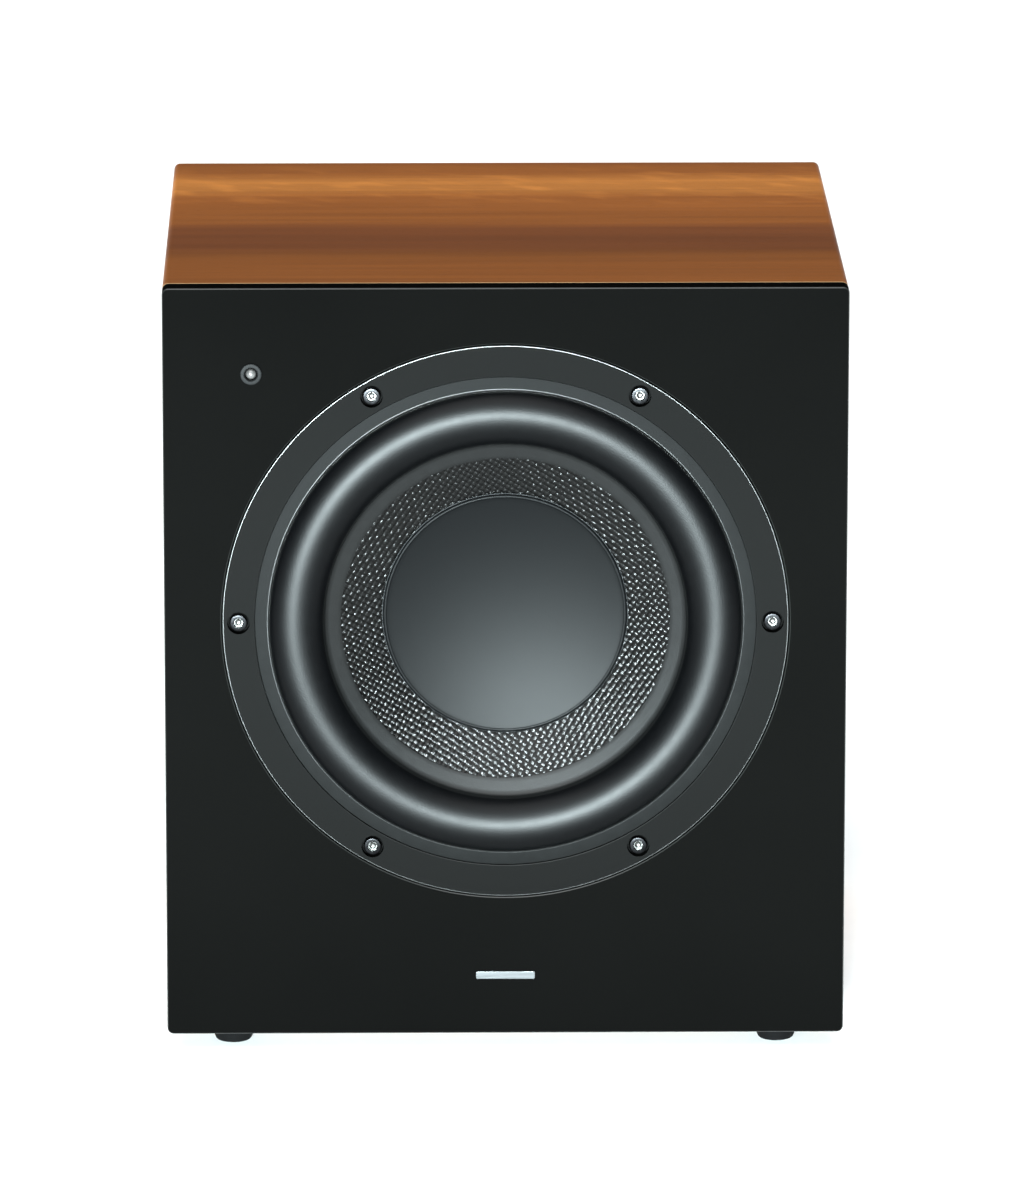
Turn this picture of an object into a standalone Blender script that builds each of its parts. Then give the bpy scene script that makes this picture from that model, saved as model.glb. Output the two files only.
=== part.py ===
"""Powered subwoofer: a sealed, veneered cabinet with a front-firing ten-inch driver and a plate
amplifier on its back. Metres, Z up, front towards -Y, origin on the floor under the middle.

Everything on a face of the cabinet is modelled looking straight at that face: x to the right,
y up and z out of the face. The empties `front` and `rear` turn those faces into place."""

import math

import bmesh
import bpy
from mathutils import Matrix, Vector

MM = 0.001
GAP = 0.3 * MM  # between two pieces that touch
MERGE = 0.001 * MM

# Sides of a round piece
LARGE_ROUND = 60
MEDIUM_ROUND = 40
SMALL_ROUND = 24
TINY_ROUND = 14

# Cabinet
WIDTH = 320 * MM
HEIGHT = 360 * MM
DEPTH = 310 * MM  # from the baffle's face to the rear panel's face
WALL = 18 * MM
BAFFLE_THICK = 12 * MM
EDGE_RADIUS = 3 * MM
BAFFLE_CHAMFER = 1 * MM
WRAP_FRONT = -(BAFFLE_THICK + GAP)
INSIDE_WIDTH = WIDTH - 2 * WALL
INSIDE_HEIGHT = HEIGHT - 2 * WALL
BRACE_FRONT = -160 * MM
BRACE_WINDOW = (200 * MM, 240 * MM)
BRACE_WINDOW_RADIUS = 20 * MM
WADDING = (12 * MM, 240 * MM, 112 * MM)  # thickness, height, length along the wall
WADDING_FRONT = -40 * MM

# Feet
FOOT_HEIGHT = 9 * MM
FOOT_RADIUS = 11 * MM
FOOT_BOTTOM_RADIUS = 8.2 * MM
FOOT_X = 129 * MM
FOOT_SETBACK = 25 * MM

# Power light and badge, measured from the baffle's bottom middle
LIGHT_X = -118.7 * MM
LIGHT_Y = 319.4 * MM
LIGHT_FLANGE_RADIUS = 5.1 * MM
LIGHT_BARREL_RADIUS = 4.4 * MM
LIGHT_LENS_RADIUS = 2.6 * MM
LIGHT_CABLE_RADIUS = 8.5 * MM
BADGE_SIZE = (28 * MM, 3.7 * MM, 0.8 * MM)
BADGE_Y = 28.7 * MM

# Driver, measured from its axis and from the baffle's face
DRIVER_Y = 200 * MM
FLANGE_RADIUS = 132.7 * MM
FLANGE_THICK = 7 * MM
GASKET_THICK = 1.2 * MM
REBATE_RADIUS = FLANGE_RADIUS + 0.6 * MM
REBATE_DEPTH = FLANGE_THICK + GASKET_THICK + 2 * GAP
DRIVER_HOLE_RADIUS = 116 * MM
SCREWS = 6
SCREW_CIRCLE = 125.2 * MM
SCREW_HEAD_RADIUS = 4.25 * MM
SCREW_HEAD_HIGH = 4.8 * MM
SCREW_RADIUS = 2.5 * MM
SCREW_LENGTH = 22 * MM
SOCKET_RADIUS = 2.3 * MM  # to the hexagon's corners
COUNTERBORE_RADIUS = 5.25 * MM
COUNTERBORE_DEPTH = 5.2 * MM
RIM_OUTER = 117.4 * MM
ROLL_OUTER = 110.4 * MM
ROLL_INNER = 85.6 * MM
LIP_INNER = 77.4 * MM
RIM_DEPTH = 1 * MM
ROLL_HIGH = 9.5 * MM
RUBBER = 1.2 * MM
CONE_OUTER = 84.5 * MM
CONE_INNER = 26.4 * MM
CONE_OUTER_DEPTH = 6 * MM
CONE_SLOPE = 0.5
CONE_THICK = 0.9 * MM
CAP_RADIUS = 57.2 * MM
CAP_DISH = 7 * MM
COIL_RADIUS = 25.5 * MM
FORMER = (36 * MM, 96 * MM)  # depth of its two ends
WINDING = (72 * MM, 96 * MM)
SPIDER_DEPTH = 47.1 * MM
SPIDER_INNER = 26.4 * MM
SPIDER_OUTER = 71.4 * MM
SPIDER_WAVES = 5
MOTOR_DEPTH = 80.5 * MM
TOP_PLATE = (28.2 * MM, 60 * MM, 8 * MM)  # inner radius, outer radius, thickness
MAGNET = (31 * MM, 72 * MM, 22 * MM)
POLE_RADIUS = 24.4 * MM
YOKE = (9 * MM, 58 * MM, 8 * MM)

# Amplifier, measured from the plate's middle and from the rear panel's face
AMP_Y = HEIGHT / 2
PLATE_SIZE = (200 * MM, 260 * MM)
PLATE_THICK = 3 * MM
CUT_OUT = (176 * MM, 236 * MM)
SEAL = (GAP, GAP + 1.2 * MM)
PLATE_BACK = SEAL[1] + GAP
PLATE_FACE = PLATE_BACK + PLATE_THICK
BEHIND_PLATE = PLATE_BACK - GAP
KNOB_HIGH = 13 * MM
KNOB_RADIUS = 9 * MM
KNOB_BASE = PLATE_FACE + 0.5 * MM
SHAFT_RADIUS = 3 * MM
BUSH_RADIUS = 4.4 * MM
GAIN_AT = (-60 * MM, -14 * MM)
CROSSOVER_AT = (-20 * MM, -14 * MM)
PHASE_AT = (24 * MM, -14 * MM)
POWER_AT = (62 * MM, -14 * MM)
PHASE_TRAVEL = 5 * MM
POWER_TRAVEL = 4 * MM  # each way
SLIDER = (6 * MM, 5 * MM)
JACKS_AT = (-46 * MM, -60 * MM)
JACK_PITCH = 22 * MM
JACK_RADIUS = 4.2 * MM
ROCKER_AT = (50 * MM, -56 * MM)
ROCKER_TILT = math.radians(10)
INLET_AT = (50 * MM, -98 * MM)
SINK_AT = (0, 66 * MM)
SINK_SIZE = (160 * MM, 100 * MM)
SINK_BASE = 3 * MM
SINK_FINS = 14
TOROID_AT = (25 * MM, 66 * MM)
TOROID = (12 * MM, 42 * MM, 36 * MM)

# The surround stands proud in front and the knobs behind, and the origin is under the middle of all
FRONT_PROUD = 7 * MM
REAR_PROUD = KNOB_BASE + KNOB_HIGH
FRONT_Y = (FRONT_PROUD - DEPTH - REAR_PROUD) / 2
REAR_Y = FRONT_Y + DEPTH

# Base colour, roughness, metallic
FINISHES = {
    "veneer": ((0.36, 0.15, 0.05), 0.35, 0.0),
    "black_lacquer": ((0.016, 0.017, 0.016), 0.55, 0.0),
    "fibreboard": ((0.42, 0.30, 0.18), 0.9, 0.0),
    "wadding": ((0.75, 0.75, 0.72), 1.0, 0.0),
    "rubber": ((0.02, 0.022, 0.025), 0.5, 0.0),
    "cast_black": ((0.045, 0.05, 0.052), 0.5, 0.0),
    "satin_metal": ((0.45, 0.46, 0.47), 0.35, 1.0),
    "black_steel": ((0.03, 0.03, 0.03), 0.35, 1.0),
    "zinc_steel": ((0.55, 0.55, 0.53), 0.35, 1.0),
    "ferrite": ((0.05, 0.05, 0.05), 0.6, 0.0),
    "clear": ((0.8, 0.85, 0.9), 0.05, 0.0),
    "woven": ((0.12, 0.12, 0.12), 0.35, 0.3),
    "cap_grey": ((0.06, 0.065, 0.07), 0.6, 0.0),
    "spider_cloth": ((0.5, 0.33, 0.12), 0.9, 0.0),
    "copper": ((0.7, 0.3, 0.15), 0.3, 1.0),
    "brass": ((0.75, 0.55, 0.25), 0.3, 1.0),
    "black_plastic": ((0.02, 0.02, 0.02), 0.45, 0.0),
    "board_green": ((0.02, 0.15, 0.06), 0.5, 0.0),
    "gasket_foam": ((0.05, 0.05, 0.05), 0.95, 0.0),
}


def clear_scene():
    for obj in list(bpy.data.objects):
        bpy.data.objects.remove(obj)


def empty(name, location, rotation=(0, 0, 0), parent=None):
    obj = bpy.data.objects.new(name, None)
    bpy.context.scene.collection.objects.link(obj)
    obj.location = location
    obj.rotation_euler = rotation
    obj.parent = parent
    return obj


def place(name, shape, parent, location=(0, 0, 0), rotation=(0, 0, 0)):
    """An object of a bmesh's shape, or of a mesh that other objects share."""
    if isinstance(shape, bmesh.types.BMesh):
        bmesh.ops.recalc_face_normals(shape, faces=shape.faces)
        mesh = bpy.data.meshes.new(name)
        shape.to_mesh(mesh)
        shape.free()
        mesh.shade_smooth()
        mesh.set_sharp_from_angle(angle=math.radians(35))
    else:
        mesh = shape
    obj = bpy.data.objects.new(name, mesh)
    bpy.context.scene.collection.objects.link(obj)
    obj.parent = parent
    obj.location = location
    obj.rotation_euler = rotation
    return obj


def piece(name, shape, finish, parent, location=(0, 0, 0), rotation=(0, 0, 0)):
    """One sub-part, with a material of its own."""
    colour, roughness, metallic = FINISHES[finish]
    material = bpy.data.materials.new(f"{name}_{finish}")
    material.use_nodes = True
    shader = material.node_tree.nodes["Principled BSDF"]
    shader.inputs["Base Color"].default_value = (*colour, 1)
    shader.inputs["Roughness"].default_value = roughness
    shader.inputs["Metallic"].default_value = metallic
    obj = place(name, shape, parent, location, rotation)
    if not obj.material_slots:
        obj.data.materials.append(material)
    obj.material_slots[0].link = "OBJECT"
    obj.material_slots[0].material = material
    return obj


def helper(name, shape, parent, location=(0, 0, 0), rotation=(0, 0, 0)):
    """A shape that cuts or joins another and isn't a part itself."""
    obj = place(name, shape, parent, location, rotation)
    obj.hide_render = True
    obj.display_type = "WIRE"
    return obj


def combine(obj, other, operation):
    modifier = obj.modifiers.new(f"{operation}_{other.name}", "BOOLEAN")
    modifier.operation = operation
    modifier.object = other
    return obj


def cut(obj, *cutters):
    for cutter in cutters:
        combine(obj, cutter, "DIFFERENCE")
    return obj


def join(obj, *others):
    for other in others:
        combine(obj, other, "UNION")
    return obj


def turned(profile, segments, closed=True):
    """A profile of (radius, z) points turned round z. An open one starts and ends on the axis."""
    bm = bmesh.new()
    verts = [bm.verts.new((radius, 0, z)) for radius, z in profile]
    ends = verts[1:] + verts[:1] if closed else verts[1:]
    for a, b in zip(verts, ends):
        bm.edges.new((a, b))
    bmesh.ops.spin(
        bm, geom=bm.verts[:] + bm.edges[:], axis=(0, 0, 1), cent=(0, 0, 0),
        angle=2 * math.pi, steps=segments, use_merge=True, use_duplicate=False,
    )
    bmesh.ops.remove_doubles(bm, verts=bm.verts, dist=MERGE)
    return bm


def extruded(outline, low, high):
    """A prism of an (x, y) outline from z low to z high."""
    bm = bmesh.new()
    face = bm.faces.new([bm.verts.new((x, y, low)) for x, y in outline])
    grown = bmesh.ops.extrude_face_region(bm, geom=[face])
    verts = [item for item in grown["geom"] if isinstance(item, bmesh.types.BMVert)]
    bmesh.ops.translate(bm, verts=verts, vec=(0, 0, high - low))
    return bm


def merged(shapes):
    """Several bmeshes as one."""
    whole = bmesh.new()
    for shape in shapes:
        mesh = bpy.data.meshes.new("merged")
        shape.to_mesh(mesh)
        shape.free()
        whole.from_mesh(mesh)
        bpy.data.meshes.remove(mesh)
    return whole


def moved(shape, x, y, z=0):
    bmesh.ops.translate(shape, verts=shape.verts, vec=(x, y, z))
    return shape


def cylinder(radius, low, high, segments=TINY_ROUND):
    return turned([(0, low), (radius, low), (radius, high), (0, high)], segments, closed=False)


def arc(centre, radius, start, end, steps):
    """Points on an arc, from one angle to another in degrees."""
    angles = [math.radians(start + (end - start) * i / steps) for i in range(steps + 1)]
    return [(centre[0] + radius * math.cos(a), centre[1] + radius * math.sin(a)) for a in angles]


def rectangle(width, height, radius=0, steps=4):
    """A rectangle about the origin, with round corners where a radius is given."""
    x = width / 2 - radius
    y = height / 2 - radius
    if not radius:
        return [(x, -y), (x, y), (-x, y), (-x, -y)]
    points = []
    for turn, corner in enumerate([(x, y), (-x, y), (-x, -y), (x, -y)]):
        points += arc(corner, radius, 90 * turn, 90 * turn + 90, steps)
    return points


def block(width, height, low, high, radius=0):
    return extruded(rectangle(width, height, radius), low, high)


def sector(inner, outer, middle, half_angle, low, high, steps=4):
    """A prism over a piece of a ring, about an angle in degrees."""
    outline = arc((0, 0), outer, middle - half_angle, middle + half_angle, steps)
    outline += arc((0, 0), inner, middle + half_angle, middle - half_angle, steps)
    return extruded(outline, low, high)


def round_pattern(count, radius):
    angles = [2 * math.pi * i / count for i in range(count)]
    return [(radius * math.cos(a), radius * math.sin(a)) for a in angles]


def ribbon(line, thickness):
    """The closed outline of a wall along a line of points, half its thickness to each side."""
    points = [Vector(p) for p in line]
    sides = []
    for i, point in enumerate(points):
        along = points[min(i + 1, len(points) - 1)] - points[max(i - 1, 0)]
        normal = Vector((-along.y, along.x)).normalized() * thickness / 2
        sides.append((point + normal, point - normal))
    return [tuple(a) for a, _ in sides] + [tuple(b) for _, b in reversed(sides)]


def baked(obj):
    """The mesh of an object with its modifiers applied. The object becomes a guide."""
    graph = bpy.context.evaluated_depsgraph_get()
    mesh = bpy.data.meshes.new_from_object(obj.evaluated_get(graph))
    obj.hide_render = True
    obj.display_type = "WIRE"
    return mesh


def tube(name, points, radius, finish, parent):
    """A wire of a curve object with filled ends."""
    curve = bpy.data.curves.new(name, "CURVE")
    curve.dimensions = "3D"
    curve.bevel_depth = radius
    curve.bevel_resolution = 2
    curve.use_fill_caps = True
    spline = curve.splines.new("POLY")
    spline.points.add(len(points) - 1)
    for target, point in zip(spline.points, points):
        target.co = (*point, 1)
    obj = bpy.data.objects.new(name, curve)
    bpy.context.scene.collection.objects.link(obj)
    obj.parent = parent
    material = bpy.data.materials.new(f"{name}_{finish}")
    material.diffuse_color = (*FINISHES[finish][0], 1)
    curve.materials.append(material)
    return obj


def smooth_path(anchors, steps):
    """Points on a smooth curve through the anchors (a Catmull-Rom spline)."""
    knots = [Vector(p) for p in anchors]
    knots = [2 * knots[0] - knots[1]] + knots + [2 * knots[-1] - knots[-2]]
    points = []
    for a, b, c, d in zip(knots, knots[1:], knots[2:], knots[3:]):
        for i in range(steps):
            t = i / steps
            points.append(
                0.5 * (2 * b + (c - a) * t + (2 * a - 5 * b + 4 * c - d) * t**2
                       + (3 * b - a - 3 * c + d) * t**3)
            )
    return points + [knots[-2]]


# ---- cabinet ----


def wall_outline(length, half):
    """A cabinet wall seen from the front: its outer face at y = half, and mitred ends that stop
    half a gap short of the corner's diagonal."""
    outer = length / 2 - EDGE_RADIUS
    stop = math.degrees(GAP / 2 / EDGE_RADIUS)
    right = arc((outer, half - EDGE_RADIUS), EDGE_RADIUS, 45 + stop, 90, 4)
    left = [(-x, y) for x, y in reversed(right)]
    inner = length / 2 - WALL - GAP / 2 * math.sqrt(2)
    return right + left + [(-inner, half - WALL), (inner, half - WALL)]


def make_walls(front):
    middle = (0, HEIGHT / 2, 0)
    walls = [
        ("top_panel", WIDTH, HEIGHT / 2, 0),
        ("left_side_panel", HEIGHT, WIDTH / 2, 90),
        ("bottom_panel", WIDTH, HEIGHT / 2, 180),
        ("right_side_panel", HEIGHT, WIDTH / 2, 270),
    ]
    for name, length, half, turn in walls:
        shape = extruded(wall_outline(length, half), -DEPTH, WRAP_FRONT)
        piece(name, shape, "veneer", front, middle, (0, 0, math.radians(turn)))


def make_front_baffle(front, driver, screw_holes):
    shape = extruded(rectangle(WIDTH, HEIGHT, EDGE_RADIUS), -BAFFLE_THICK, 0)
    rim = [e for e in shape.edges if all(abs(v.co.z) < MERGE for v in e.verts)]
    bmesh.ops.bevel(
        shape, geom=rim, offset=BAFFLE_CHAMFER, affect="EDGES", segments=1, profile=0.5, material=-1
    )
    baffle = piece("front_baffle", shape, "black_lacquer", front, (0, HEIGHT / 2, 0))
    step = -REBATE_DEPTH
    clear = 5 * MM
    hole = turned(
        [(0, clear), (REBATE_RADIUS, clear), (REBATE_RADIUS, step), (DRIVER_HOLE_RADIUS, step),
         (DRIVER_HOLE_RADIUS, -BAFFLE_THICK - clear), (0, -BAFFLE_THICK - clear)],
        LARGE_ROUND, closed=False,
    )
    light_hole = cylinder(LIGHT_BARREL_RADIUS + 0.4 * MM, -BAFFLE_THICK - clear, clear)
    cut(
        baffle,
        helper("cut_driver_rebate", hole, driver),
        helper("cut_light_hole", light_hole, front, (LIGHT_X, LIGHT_Y, 0)),
        screw_holes,
    )


def make_inner_baffle(front, driver, screw_holes):
    back = WRAP_FRONT - WALL
    shape = block(INSIDE_WIDTH - 2 * GAP, INSIDE_HEIGHT - 2 * GAP, back, WRAP_FRONT)
    baffle = piece("inner_baffle", shape, "fibreboard", front, (0, HEIGHT / 2, 0))
    clear = 5 * MM
    hole = cylinder(DRIVER_HOLE_RADIUS, back - clear, WRAP_FRONT + clear, LARGE_ROUND)
    cable_hole = cylinder(LIGHT_CABLE_RADIUS, back - clear, WRAP_FRONT + clear)
    cut(
        baffle,
        helper("cut_driver_hole", hole, driver),
        helper("cut_light_cable_hole", cable_hole, front, (LIGHT_X, LIGHT_Y, 0)),
        screw_holes,
    )


def make_rear_panel(rear):
    shape = block(INSIDE_WIDTH - 2 * GAP, INSIDE_HEIGHT - 2 * GAP, -WALL, 0)
    panel = piece("rear_panel", shape, "black_lacquer", rear, (0, HEIGHT / 2, 0))
    hole = block(*CUT_OUT, -2 * WALL, WALL, 6 * MM)
    cut(panel, helper("cut_amp_hole", hole, rear, (0, AMP_Y, 0)))


def make_brace(front):
    back = BRACE_FRONT - WALL
    shape = block(INSIDE_WIDTH - 2 * GAP, INSIDE_HEIGHT - 2 * GAP, back, BRACE_FRONT)
    brace = piece("window_brace", shape, "fibreboard", front, (0, HEIGHT / 2, 0))
    window = block(*BRACE_WINDOW, back - WALL, BRACE_FRONT + WALL, BRACE_WINDOW_RADIUS)
    cut(brace, helper("cut_brace_window", window, front, (0, HEIGHT / 2, 0)))


def make_wadding(front):
    thick, high, long = WADDING
    for name, side in (("wadding_left", -1), ("wadding_right", 1)):
        x = side * (INSIDE_WIDTH / 2 - thick / 2 - 2 * GAP)
        shape = block(thick, high, WADDING_FRONT - long, WADDING_FRONT)
        piece(name, shape, "wadding", front, (x, HEIGHT / 2, 0))


def make_feet():
    top = FOOT_HEIGHT - GAP
    screw = 2.2 * MM
    recess = 5.2 * MM
    recess_top = 5 * MM
    profile = [
        (screw, top), (FOOT_RADIUS, top), (FOOT_RADIUS, 6.5 * MM),
        (FOOT_BOTTOM_RADIUS, 0.6 * MM), (FOOT_BOTTOM_RADIUS - 0.6 * MM, 0),
        (recess, 0), (recess, recess_top), (screw, recess_top),
    ]
    for end, y in (("front", FRONT_Y + FOOT_SETBACK), ("rear", REAR_Y - FOOT_SETBACK)):
        for side, x in (("left", -FOOT_X), ("right", FOOT_X)):
            piece(f"foot_{end}_{side}", turned(profile, TINY_ROUND), "rubber", None, (x, y, 0))


def make_power_light(front):
    at = (LIGHT_X, LIGHT_Y, 0)
    bore = LIGHT_LENS_RADIUS + GAP
    flange = GAP + 1 * MM
    barrel_end = -9 * MM
    bezel = [
        (bore, flange), (LIGHT_FLANGE_RADIUS - 0.4 * MM, flange),
        (LIGHT_FLANGE_RADIUS, flange - 0.4 * MM), (LIGHT_FLANGE_RADIUS, GAP),
        (LIGHT_BARREL_RADIUS, GAP), (LIGHT_BARREL_RADIUS, barrel_end), (bore, barrel_end),
    ]
    piece("led_bezel", turned(bezel, TINY_ROUND), "satin_metal", front, at)
    dome_base = -0.7 * MM
    dome = arc((0, dome_base), LIGHT_LENS_RADIUS, 0, 90, 4)
    lens = [(0, barrel_end)] + [(LIGHT_LENS_RADIUS, barrel_end)] + dome[:-1]
    lens += [(0, dome_base + LIGHT_LENS_RADIUS)]
    piece("led_lens", turned(lens, TINY_ROUND, closed=False), "clear", front, at)
    board = WRAP_FRONT - 1.7 * MM
    piece("led_board", cylinder(7.5 * MM, board - 1.6 * MM, board), "board_green", front, at)


def make_badge(front):
    width, height, thick = BADGE_SIZE
    shape = block(width, height, GAP, GAP + thick, 0.6 * MM)
    piece("badge_plate", shape, "satin_metal", front, (0, BADGE_Y, 0))


# ---- driver ----


def basket_profile():
    """The casting's section: flange, recess for the surround, bowl, spider shelf and motor seat."""
    outline = [
        (132.7, 0), (132.7, -7), (113.5, -7), (113.5, -20), (76, -51), (70, -64), (66, -80.2),
        (44, -80.2), (44, -77), (57, -77), (64, -53), (64, -48), (72, -48), (109.5, -16),
        (109.5, -2.5), (117.7, -2.5), (117.7, 0),
    ]
    return [(radius * MM, z * MM) for radius, z in outline]


def make_basket(driver, screw_holes):
    basket = piece("basket", turned(basket_profile(), LARGE_ROUND), "cast_black", driver)
    windows = []
    for middle in range(30, 390, 60):
        windows.append(sector(78 * MM, 105 * MM, middle, 20, -60 * MM, -10 * MM))
        windows.append(sector(50 * MM, 85 * MM, middle, 17, -74 * MM, -58 * MM))
    cut(basket, helper("cut_basket_windows", merged(windows), driver), screw_holes)


def make_gasket(driver, screw_holes):
    top = -FLANGE_THICK - GAP
    inner = DRIVER_HOLE_RADIUS + 2 * MM
    outer = FLANGE_RADIUS - 1.7 * MM
    shape = turned(
        [(inner, top), (inner, top - GASKET_THICK), (outer, top - GASKET_THICK), (outer, top)],
        MEDIUM_ROUND,
    )
    cut(piece("driver_gasket", shape, "gasket_foam", driver), screw_holes)


def screw_hole_cutter(driver):
    """The six counterbored holes that the driver's screws go through, in every layer."""
    floor = -COUNTERBORE_DEPTH
    end = WRAP_FRONT - WALL - 5 * MM
    bore = SCREW_RADIUS + GAP
    profile = [
        (0, 2 * MM), (COUNTERBORE_RADIUS, 2 * MM), (COUNTERBORE_RADIUS, floor),
        (bore, floor), (bore, end), (0, end),
    ]
    holes = [
        moved(turned(profile, TINY_ROUND, closed=False), x, y)
        for x, y in round_pattern(SCREWS, SCREW_CIRCLE)
    ]
    return helper("cut_driver_screw_holes", merged(holes), driver)


def make_driver_screws(driver):
    under = -COUNTERBORE_DEPTH + GAP
    top = under + SCREW_HEAD_HIGH
    chamfer = 0.4 * MM
    profile = [
        (0, top), (SCREW_HEAD_RADIUS - chamfer, top), (SCREW_HEAD_RADIUS, top - chamfer),
        (SCREW_HEAD_RADIUS, under), (SCREW_RADIUS, under), (SCREW_RADIUS, under - SCREW_LENGTH),
        (0, under - SCREW_LENGTH),
    ]
    pattern = helper("screw_pattern", turned(profile, TINY_ROUND, closed=False), driver)
    socket = cylinder(SOCKET_RADIUS, top - 2.6 * MM, top + 1 * MM, 6)
    cut(pattern, helper("cut_hex_socket", socket, driver))
    bpy.context.view_layer.update()
    mesh = baked(pattern)
    for number, (x, y) in enumerate(round_pattern(SCREWS, SCREW_CIRCLE), start=1):
        piece(f"driver_screw_{number}", mesh, "black_steel", driver, (x, y, 0))


def cone_top(radius):
    """The height of the cone's front surface at a radius."""
    return -CONE_OUTER_DEPTH - (CONE_OUTER - radius) * CONE_SLOPE


def make_surround(driver):
    """A flat rim on the basket, a half roll, and a lip that lies on the cone."""
    half = RUBBER / 2
    rim = -RIM_DEPTH - half
    lift = GAP + half + 0.1 * MM
    lip_outer = cone_top(ROLL_INNER) + lift
    middle = (ROLL_OUTER + ROLL_INNER) / 2
    reach = (ROLL_OUTER - ROLL_INNER) / 2
    line = [(RIM_OUTER, rim), (ROLL_OUTER + 0.8 * MM, rim)]
    steps = 8
    for i in range(1, steps):
        angle = math.pi * i / steps
        base = rim + (lip_outer - rim) * i / steps
        line.append((middle + reach * math.cos(angle), base + ROLL_HIGH * math.sin(angle)))
    line += [(ROLL_INNER - 0.8 * MM, cone_top(ROLL_INNER - 0.8 * MM) + lift)]
    line += [(LIP_INNER, cone_top(LIP_INNER) + lift)]
    piece("surround", turned(ribbon(line, RUBBER), MEDIUM_ROUND), "rubber", driver)


def make_spider(driver):
    """A corrugated cloth disc between the coil former and the basket's shelf."""
    flat = 4 * MM
    line = [(SPIDER_INNER, -SPIDER_DEPTH)]
    steps = 2 * SPIDER_WAVES
    first = SPIDER_INNER + flat
    last = SPIDER_OUTER - 2 * flat
    for i in range(steps + 1):
        wave = 1.5 * MM * (-1) ** i
        line.append((first + (last - first) * i / steps, -SPIDER_DEPTH + wave))
    line.append((SPIDER_OUTER, -SPIDER_DEPTH))
    piece("spider", turned(ribbon(line, 0.6 * MM), SMALL_ROUND), "spider_cloth", driver)


def make_moving_parts(driver):
    """Cone, dust cap, former and coil, which travel along the driver's axis together."""
    under = CONE_THICK / 2 / math.cos(math.atan(CONE_SLOPE))
    line = [(r, cone_top(r) - under) for r in (CONE_OUTER, CAP_RADIUS, CONE_INNER)]
    piece("cone", turned(ribbon(line, CONE_THICK), LARGE_ROUND), "woven", driver)
    rim = cone_top(CAP_RADIUS) + GAP + CONE_THICK / 2
    edge = CAP_RADIUS - 1.6 * MM
    cap = [(CAP_RADIUS, rim), (CAP_RADIUS - 0.8 * MM, rim + 0.7 * MM)]
    steps = 4
    for i in range(steps):
        radius = edge * (1 - i / steps)
        cap.append((radius, rim + 0.5 * MM - CAP_DISH * (1 - (radius / edge) ** 2)))
    cap = ribbon(cap, CONE_THICK)
    half = len(cap) // 2
    middle = rim + 0.5 * MM - CAP_DISH
    top = [(0, middle + CONE_THICK / 2)]
    bottom = [(0, middle - CONE_THICK / 2)]
    cap = bottom + cap[:half][::-1] + cap[half:][::-1] + top
    piece("dust_cap", turned(cap, MEDIUM_ROUND, closed=False), "cap_grey", driver)
    wall = 0.5 * MM
    former = [(COIL_RADIUS - wall / 2, COIL_RADIUS + wall / 2), FORMER]
    winding = [(COIL_RADIUS + wall / 2 + GAP, COIL_RADIUS + wall / 2 + GAP + 1.2 * MM), WINDING]
    for name, (radii, depths), finish in (
        ("voice_coil_former", former, "satin_metal"), ("voice_coil", winding, "copper")
    ):
        (a, b), (near, far) = radii, depths
        shape = turned([(a, -near), (a, -far), (b, -far), (b, -near)], SMALL_ROUND)
        piece(name, shape, finish, driver)


def make_motor(driver):
    """Top plate, ferrite ring, and a yoke whose pole is vented through its middle."""
    depth = MOTOR_DEPTH
    for name, (inner, outer, thick), finish in (
        ("front_plate", TOP_PLATE, "zinc_steel"), ("magnet_ring", MAGNET, "ferrite")
    ):
        chamfer = 1 * MM
        profile = [
            (inner, -depth), (inner, -depth - thick), (outer - chamfer, -depth - thick),
            (outer, -depth - thick + chamfer), (outer, -depth - chamfer), (outer - chamfer, -depth),
        ]
        piece(name, turned(profile, MEDIUM_ROUND), finish, driver)
        depth += thick + GAP
    vent, outer, thick = YOKE
    flare = 2.5 * MM
    profile = [
        (POLE_RADIUS, -MOTOR_DEPTH), (POLE_RADIUS, -depth), (outer, -depth),
        (outer, -depth - thick), (vent + flare, -depth - thick), (vent, -depth - thick + flare),
        (vent, -MOTOR_DEPTH - flare), (vent + flare, -MOTOR_DEPTH),
    ]
    piece("pole_yoke", turned(profile, MEDIUM_ROUND), "zinc_steel", driver)


def make_terminals(driver, front):
    """The basket's terminal strip, the two braided leads to the cone, and the cable to the amp."""
    strip = block(44 * MM, 16 * MM, -1 * MM, 1 * MM, 2 * MM)
    strip = piece("terminal_strip", strip, "black_plastic", driver, (0, -83 * MM, -57.5 * MM))
    tags = [moved(block(4 * MM, 8 * MM, -0.4 * MM, 0.4 * MM), x, -10 * MM) for x in (-8 * MM, 8 * MM)]
    join(strip, helper("join_tags", merged(tags), driver, (0, -83 * MM, -57.5 * MM)))
    for name, side in (("tinsel_lead_left", -1), ("tinsel_lead_right", 1)):
        route = [
            (side * 9 * MM, -42 * MM, -31.5 * MM), (side * 10 * MM, -54 * MM, -38 * MM),
            (side * 11 * MM, -68 * MM, -40 * MM), (side * 11 * MM, -80 * MM, -42 * MM),
            (side * 10 * MM, -86 * MM, -55.2 * MM),
        ]
        tube(name, smooth_path(route, 4), 0.8 * MM, "copper", driver)
    start = Vector((0, DRIVER_Y - 96.5 * MM, -57.5 * MM))
    end = Vector((-20 * MM, 130 * MM, -267 * MM))
    sag = 24 * MM
    route = []
    for i in range(22):
        t = i / 21
        route.append(start.lerp(end, t) - Vector((0, 4 * sag * t * (1 - t), 0)))
    tube("speaker_cable", route, 2 * MM, "black_plastic", front)


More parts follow.
